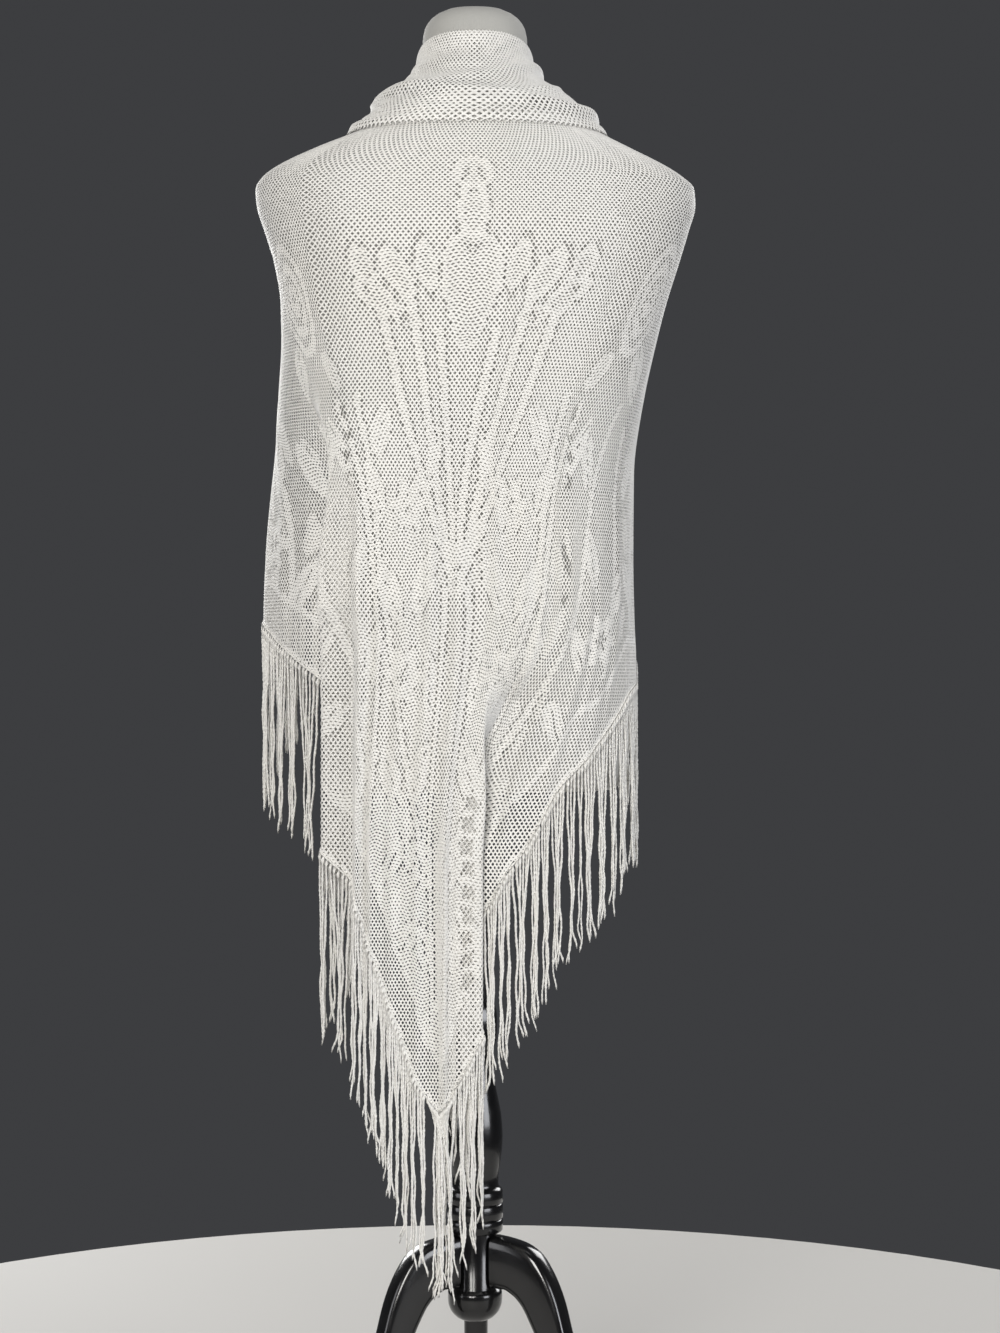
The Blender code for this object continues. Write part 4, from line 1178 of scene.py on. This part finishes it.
# What differs from strand to strand, from least to most
ROOT_OFF = 0.0008  # along the edging, from the strand's even place
BUNCH_SIZES = (2, 7)  # strands that hang together, fewer than the last number
LENGTHS = (0.94, 1.05)
DRAWN_IN = (0.45, 0.88)  # share of the way to the bunch's middle
DRAWN_BY = (0.35, 0.7)  # share of the length over which it gets there
LET_GO = (0.0, 0.35)  # share of the way that it comes back over its last 30 %
SWAYS = (0.4, 1.2)
END_TURN = 0.0045  # how far the last tenth turns aside
THICKNESS = (0.85, 1.15)
# Each wave of a strand, along the edge and outward: how far it moves, and radians down the length
LONG_SWAY = (0.0016, 7.0)
SHORT_SWAY = (0.0007, 23.0)
LONG_NOD = (0.0010, 6.0)
SHORT_NOD = (0.0006, 19.0)
NOD_OUT = 0.0007
TASSEL_HALF = 0.022  # the strands nearest the shawl's point hang together as a tassel
TASSEL_EXTRA = 6  # more strands on each side of the point, knotted close together
TASSEL_RUN = 0.013
TASSEL_LEAN = 0.008
TASSEL_SPOTS = ((-0.0085, -0.0010), (0.0085, 0.0035))  # from its middle: least and most, x and out
FRINGES = (
    ("fringe_front_left", LEFT_END, -0.360),
    ("fringe_side_left", -0.360, -0.240),
    ("fringe_tail_left", -0.240, 0.000),
    ("fringe_tail_right", 0.000, 0.1215),
    ("fringe_back_right", 0.1215, 0.320),
    ("fringe_front_right", 0.320, RIGHT_END),
)


def wavering(share, size, long_wave, short_wave, phases):
    """How far a strand wavers one way: a long wave that grows down its length, and a short one."""
    slow = long_wave[0] * size * share * np.sin(share * long_wave[1] + phases[0])
    return slow + short_wave[0] * share**0.5 * np.sin(share * short_wave[1] + phases[1])


LEVEL = np.array([1.0, 1.0, 0.0])
EDGE_NUDGE = 0.002
tail_point = hem_points(np.zeros(1))[0][0]
share = np.linspace(0.0, 1.0, STRAND_STEPS)
for node, start, end in FRINGES:
    low, high = np.interp([start, end], edging_widths, way)
    count = int((high - low) / STRAND_PITCH)
    roots = low + (np.arange(count) + 0.5) * (high - low) / count
    roots = roots + random.uniform(-ROOT_OFF, ROOT_OFF, count)
    close = np.linspace(0.0, TASSEL_RUN, TASSEL_EXTRA)
    if start == 0.0:
        roots = np.concatenate([low + close, roots])
    if end == 0.0:
        roots = np.concatenate([roots, high - close])
    count = len(roots)
    widths = np.interp(roots, way, edging_widths)
    places, out = hem_points(widths)
    out = unit(out * LEVEL)
    run = unit((hem_points(widths + EDGE_NUDGE)[0] - hem_points(widths - EDGE_NUDGE)[0]) * LEVEL)
    bunch = np.zeros(count, int)
    at = 0
    while at < count:
        size = int(random.integers(*BUNCH_SIZES))
        bunch[at : at + size] = at
        at += size
    strands = []
    for index, place in enumerate(places):
        centre = places[bunch == bunch[index]].mean(axis=0)
        depth = STRAND_LENGTH * random.uniform(*LENGTHS) * share
        drawn_in = random.uniform(*DRAWN_IN) * ease((share - 0.04) / random.uniform(*DRAWN_BY))
        drawn_in = drawn_in - random.uniform(*LET_GO) * ease((share - 0.70) / 0.30)
        if abs(widths[index]) < TASSEL_HALF:
            spot = random.uniform(*TASSEL_SPOTS)
            centre = tail_point + np.array([spot[0] + TASSEL_LEAN * 0.5, -spot[1], 0.0])
            drawn_in = 0.5 * ease(share / 0.12) + 0.5 * ease(share / 0.45)
        toward = (centre - place) * LEVEL
        phase = random.uniform(0.0, 2.0 * math.pi, 4)
        size = random.uniform(*SWAYS, 2)
        sway = wavering(share, size[0], LONG_SWAY, SHORT_SWAY, phase[:2])
        sway = sway + random.uniform(-END_TURN, END_TURN) * ease((share - 0.90) / 0.10)
        nod = wavering(share, size[1], LONG_NOD, SHORT_NOD, phase[2:]) + NOD_OUT
        path = place + toward * drawn_in[:, None]
        path = path + run[index] * sway[:, None] + out[index] * nod[:, None]
        path[:, 2] = place[2] - 0.0003 - depth
        radius = STRAND_RADIUS * random.uniform(*THICKNESS)
        radii = radius * (1.0 + KNOT_SWELL * np.exp(-(((depth - KNOT_AT) / KNOT_HALF) ** 2)))
        radii = radii * (1.0 - STRAND_TAPER * share) * (1.0 - 0.5 * (share > 0.985))
        spins = depth * 2.0 * math.pi / STRAND_PLY + phase[0]
        strands.append(tube(path, radii, spins, STRAND_FLATNESS, STRAND_SIDES))
    made = tubes(node + "_strands", strands, yarn)
    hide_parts(node)

# The studio: a round board in pale matt paint as the floor, and six soft square lights, all white
# or nearly so. The brightest stands behind the back, a little to the left, where the photo's did.
FLOOR_RADIUS = 0.95
floor_material, tree, shader = new_material("pale_matt_floor_paint")
where = add_node(tree, "ShaderNodeTexCoord", {})
grain = add_node(tree, "ShaderNodeTexNoise", {"Vector": (where, "Object"), "Scale": 400.0, "Detail": 2.0})
relief = add_node(
    tree, "ShaderNodeBump", {"Height": (grain, "Fac"), "Strength": 0.1, "Distance": 0.0002}
)
shader.inputs["Base Color"].default_value = linear("#C6C4C0")
shader.inputs["Roughness"].default_value = 0.7
tree.links.new(relief.outputs["Normal"], shader.inputs["Normal"])
around = np.linspace(0.0, 2.0 * math.pi, 96, endpoint=False)
edge = [(FLOOR_RADIUS * math.cos(a), FLOOR_RADIUS * math.sin(a), 0.0) for a in around]
mesh = bpy.data.meshes.new("studio_floor")
mesh.from_pydata(edge, [], [list(range(len(edge)))])
mesh.materials.append(floor_material)
floor = bpy.data.objects.new("studio_floor", mesh)
bpy.context.scene.collection.objects.link(floor)
floor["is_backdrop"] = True

# The air round it is a dark grey, against which both the white fringe and the black stand show
world = bpy.data.worlds.new("studio_air")
world.use_nodes = True
world.node_tree.nodes["Background"].inputs["Color"].default_value = linear("#56575A")
world.node_tree.nodes["Background"].inputs["Strength"].default_value = 0.5
bpy.context.scene.world = world

# Each row: name, place, size, watts, colour
LIGHTS = (
    ("key_softbox", (-0.7, -3.0, 1.5), 1.2, 75.0, "#FFFDF9"),
    ("fill_softbox", (2.4, -1.9, 0.9), 1.4, 49.0, "#F8FAFF"),
    ("side_softbox", (-2.5, -1.0, 0.8), 1.4, 16.0, "#FBFBFF"),
    ("top_softbox", (0.1, -0.2, 2.9), 1.4, 8.0, "#FFFFFF"),
    ("rim_softbox", (1.6, 1.9, 1.6), 1.2, 26.0, "#FFFFFF"),
    ("front_softbox", (-1.4, 2.4, 1.5), 1.4, 56.0, "#FFFFFF"),
)
target = np.array([0.0, WHOLE_SHIFT_Y, 0.80])
for name, place, size, watts, colour in LIGHTS:
    lamp = bpy.data.lights.new(name, "AREA")
    lamp.shape = "SQUARE"
    lamp.size = size
    lamp.energy = watts
    lamp.color = linear(colour)[:3]
    lamp_object = bpy.data.objects.new(name, lamp)
    lamp_object.location = place
    aim = target - np.array(place)
    lamp_object.rotation_mode = "XYZ"
    flat = math.hypot(aim[0], aim[1])
    lamp_object.rotation_euler = (math.atan2(flat, -aim[2]), 0.0, math.atan2(-aim[0], aim[1]))
    bpy.context.scene.collection.objects.link(lamp_object)

# The camera: level, at the height of the hips, 2.2 m behind the torso's axis and a little to its
# right. The lens gives the photo's frame with no shift.
camera = bpy.data.cameras.new("photo_camera")
camera.sensor_width = 36.0
camera.lens = 66.0
camera_object = bpy.data.objects.new("photo_camera", camera)
camera_object.location = (0.0225, -2.2414, 0.7295)
camera_object.rotation_euler = (math.pi / 2, 0.0, 0.0)
bpy.context.scene.collection.objects.link(camera_object)
bpy.context.scene.camera = camera_object
bpy.context.scene.view_settings.view_transform = "Standard"

low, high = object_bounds()
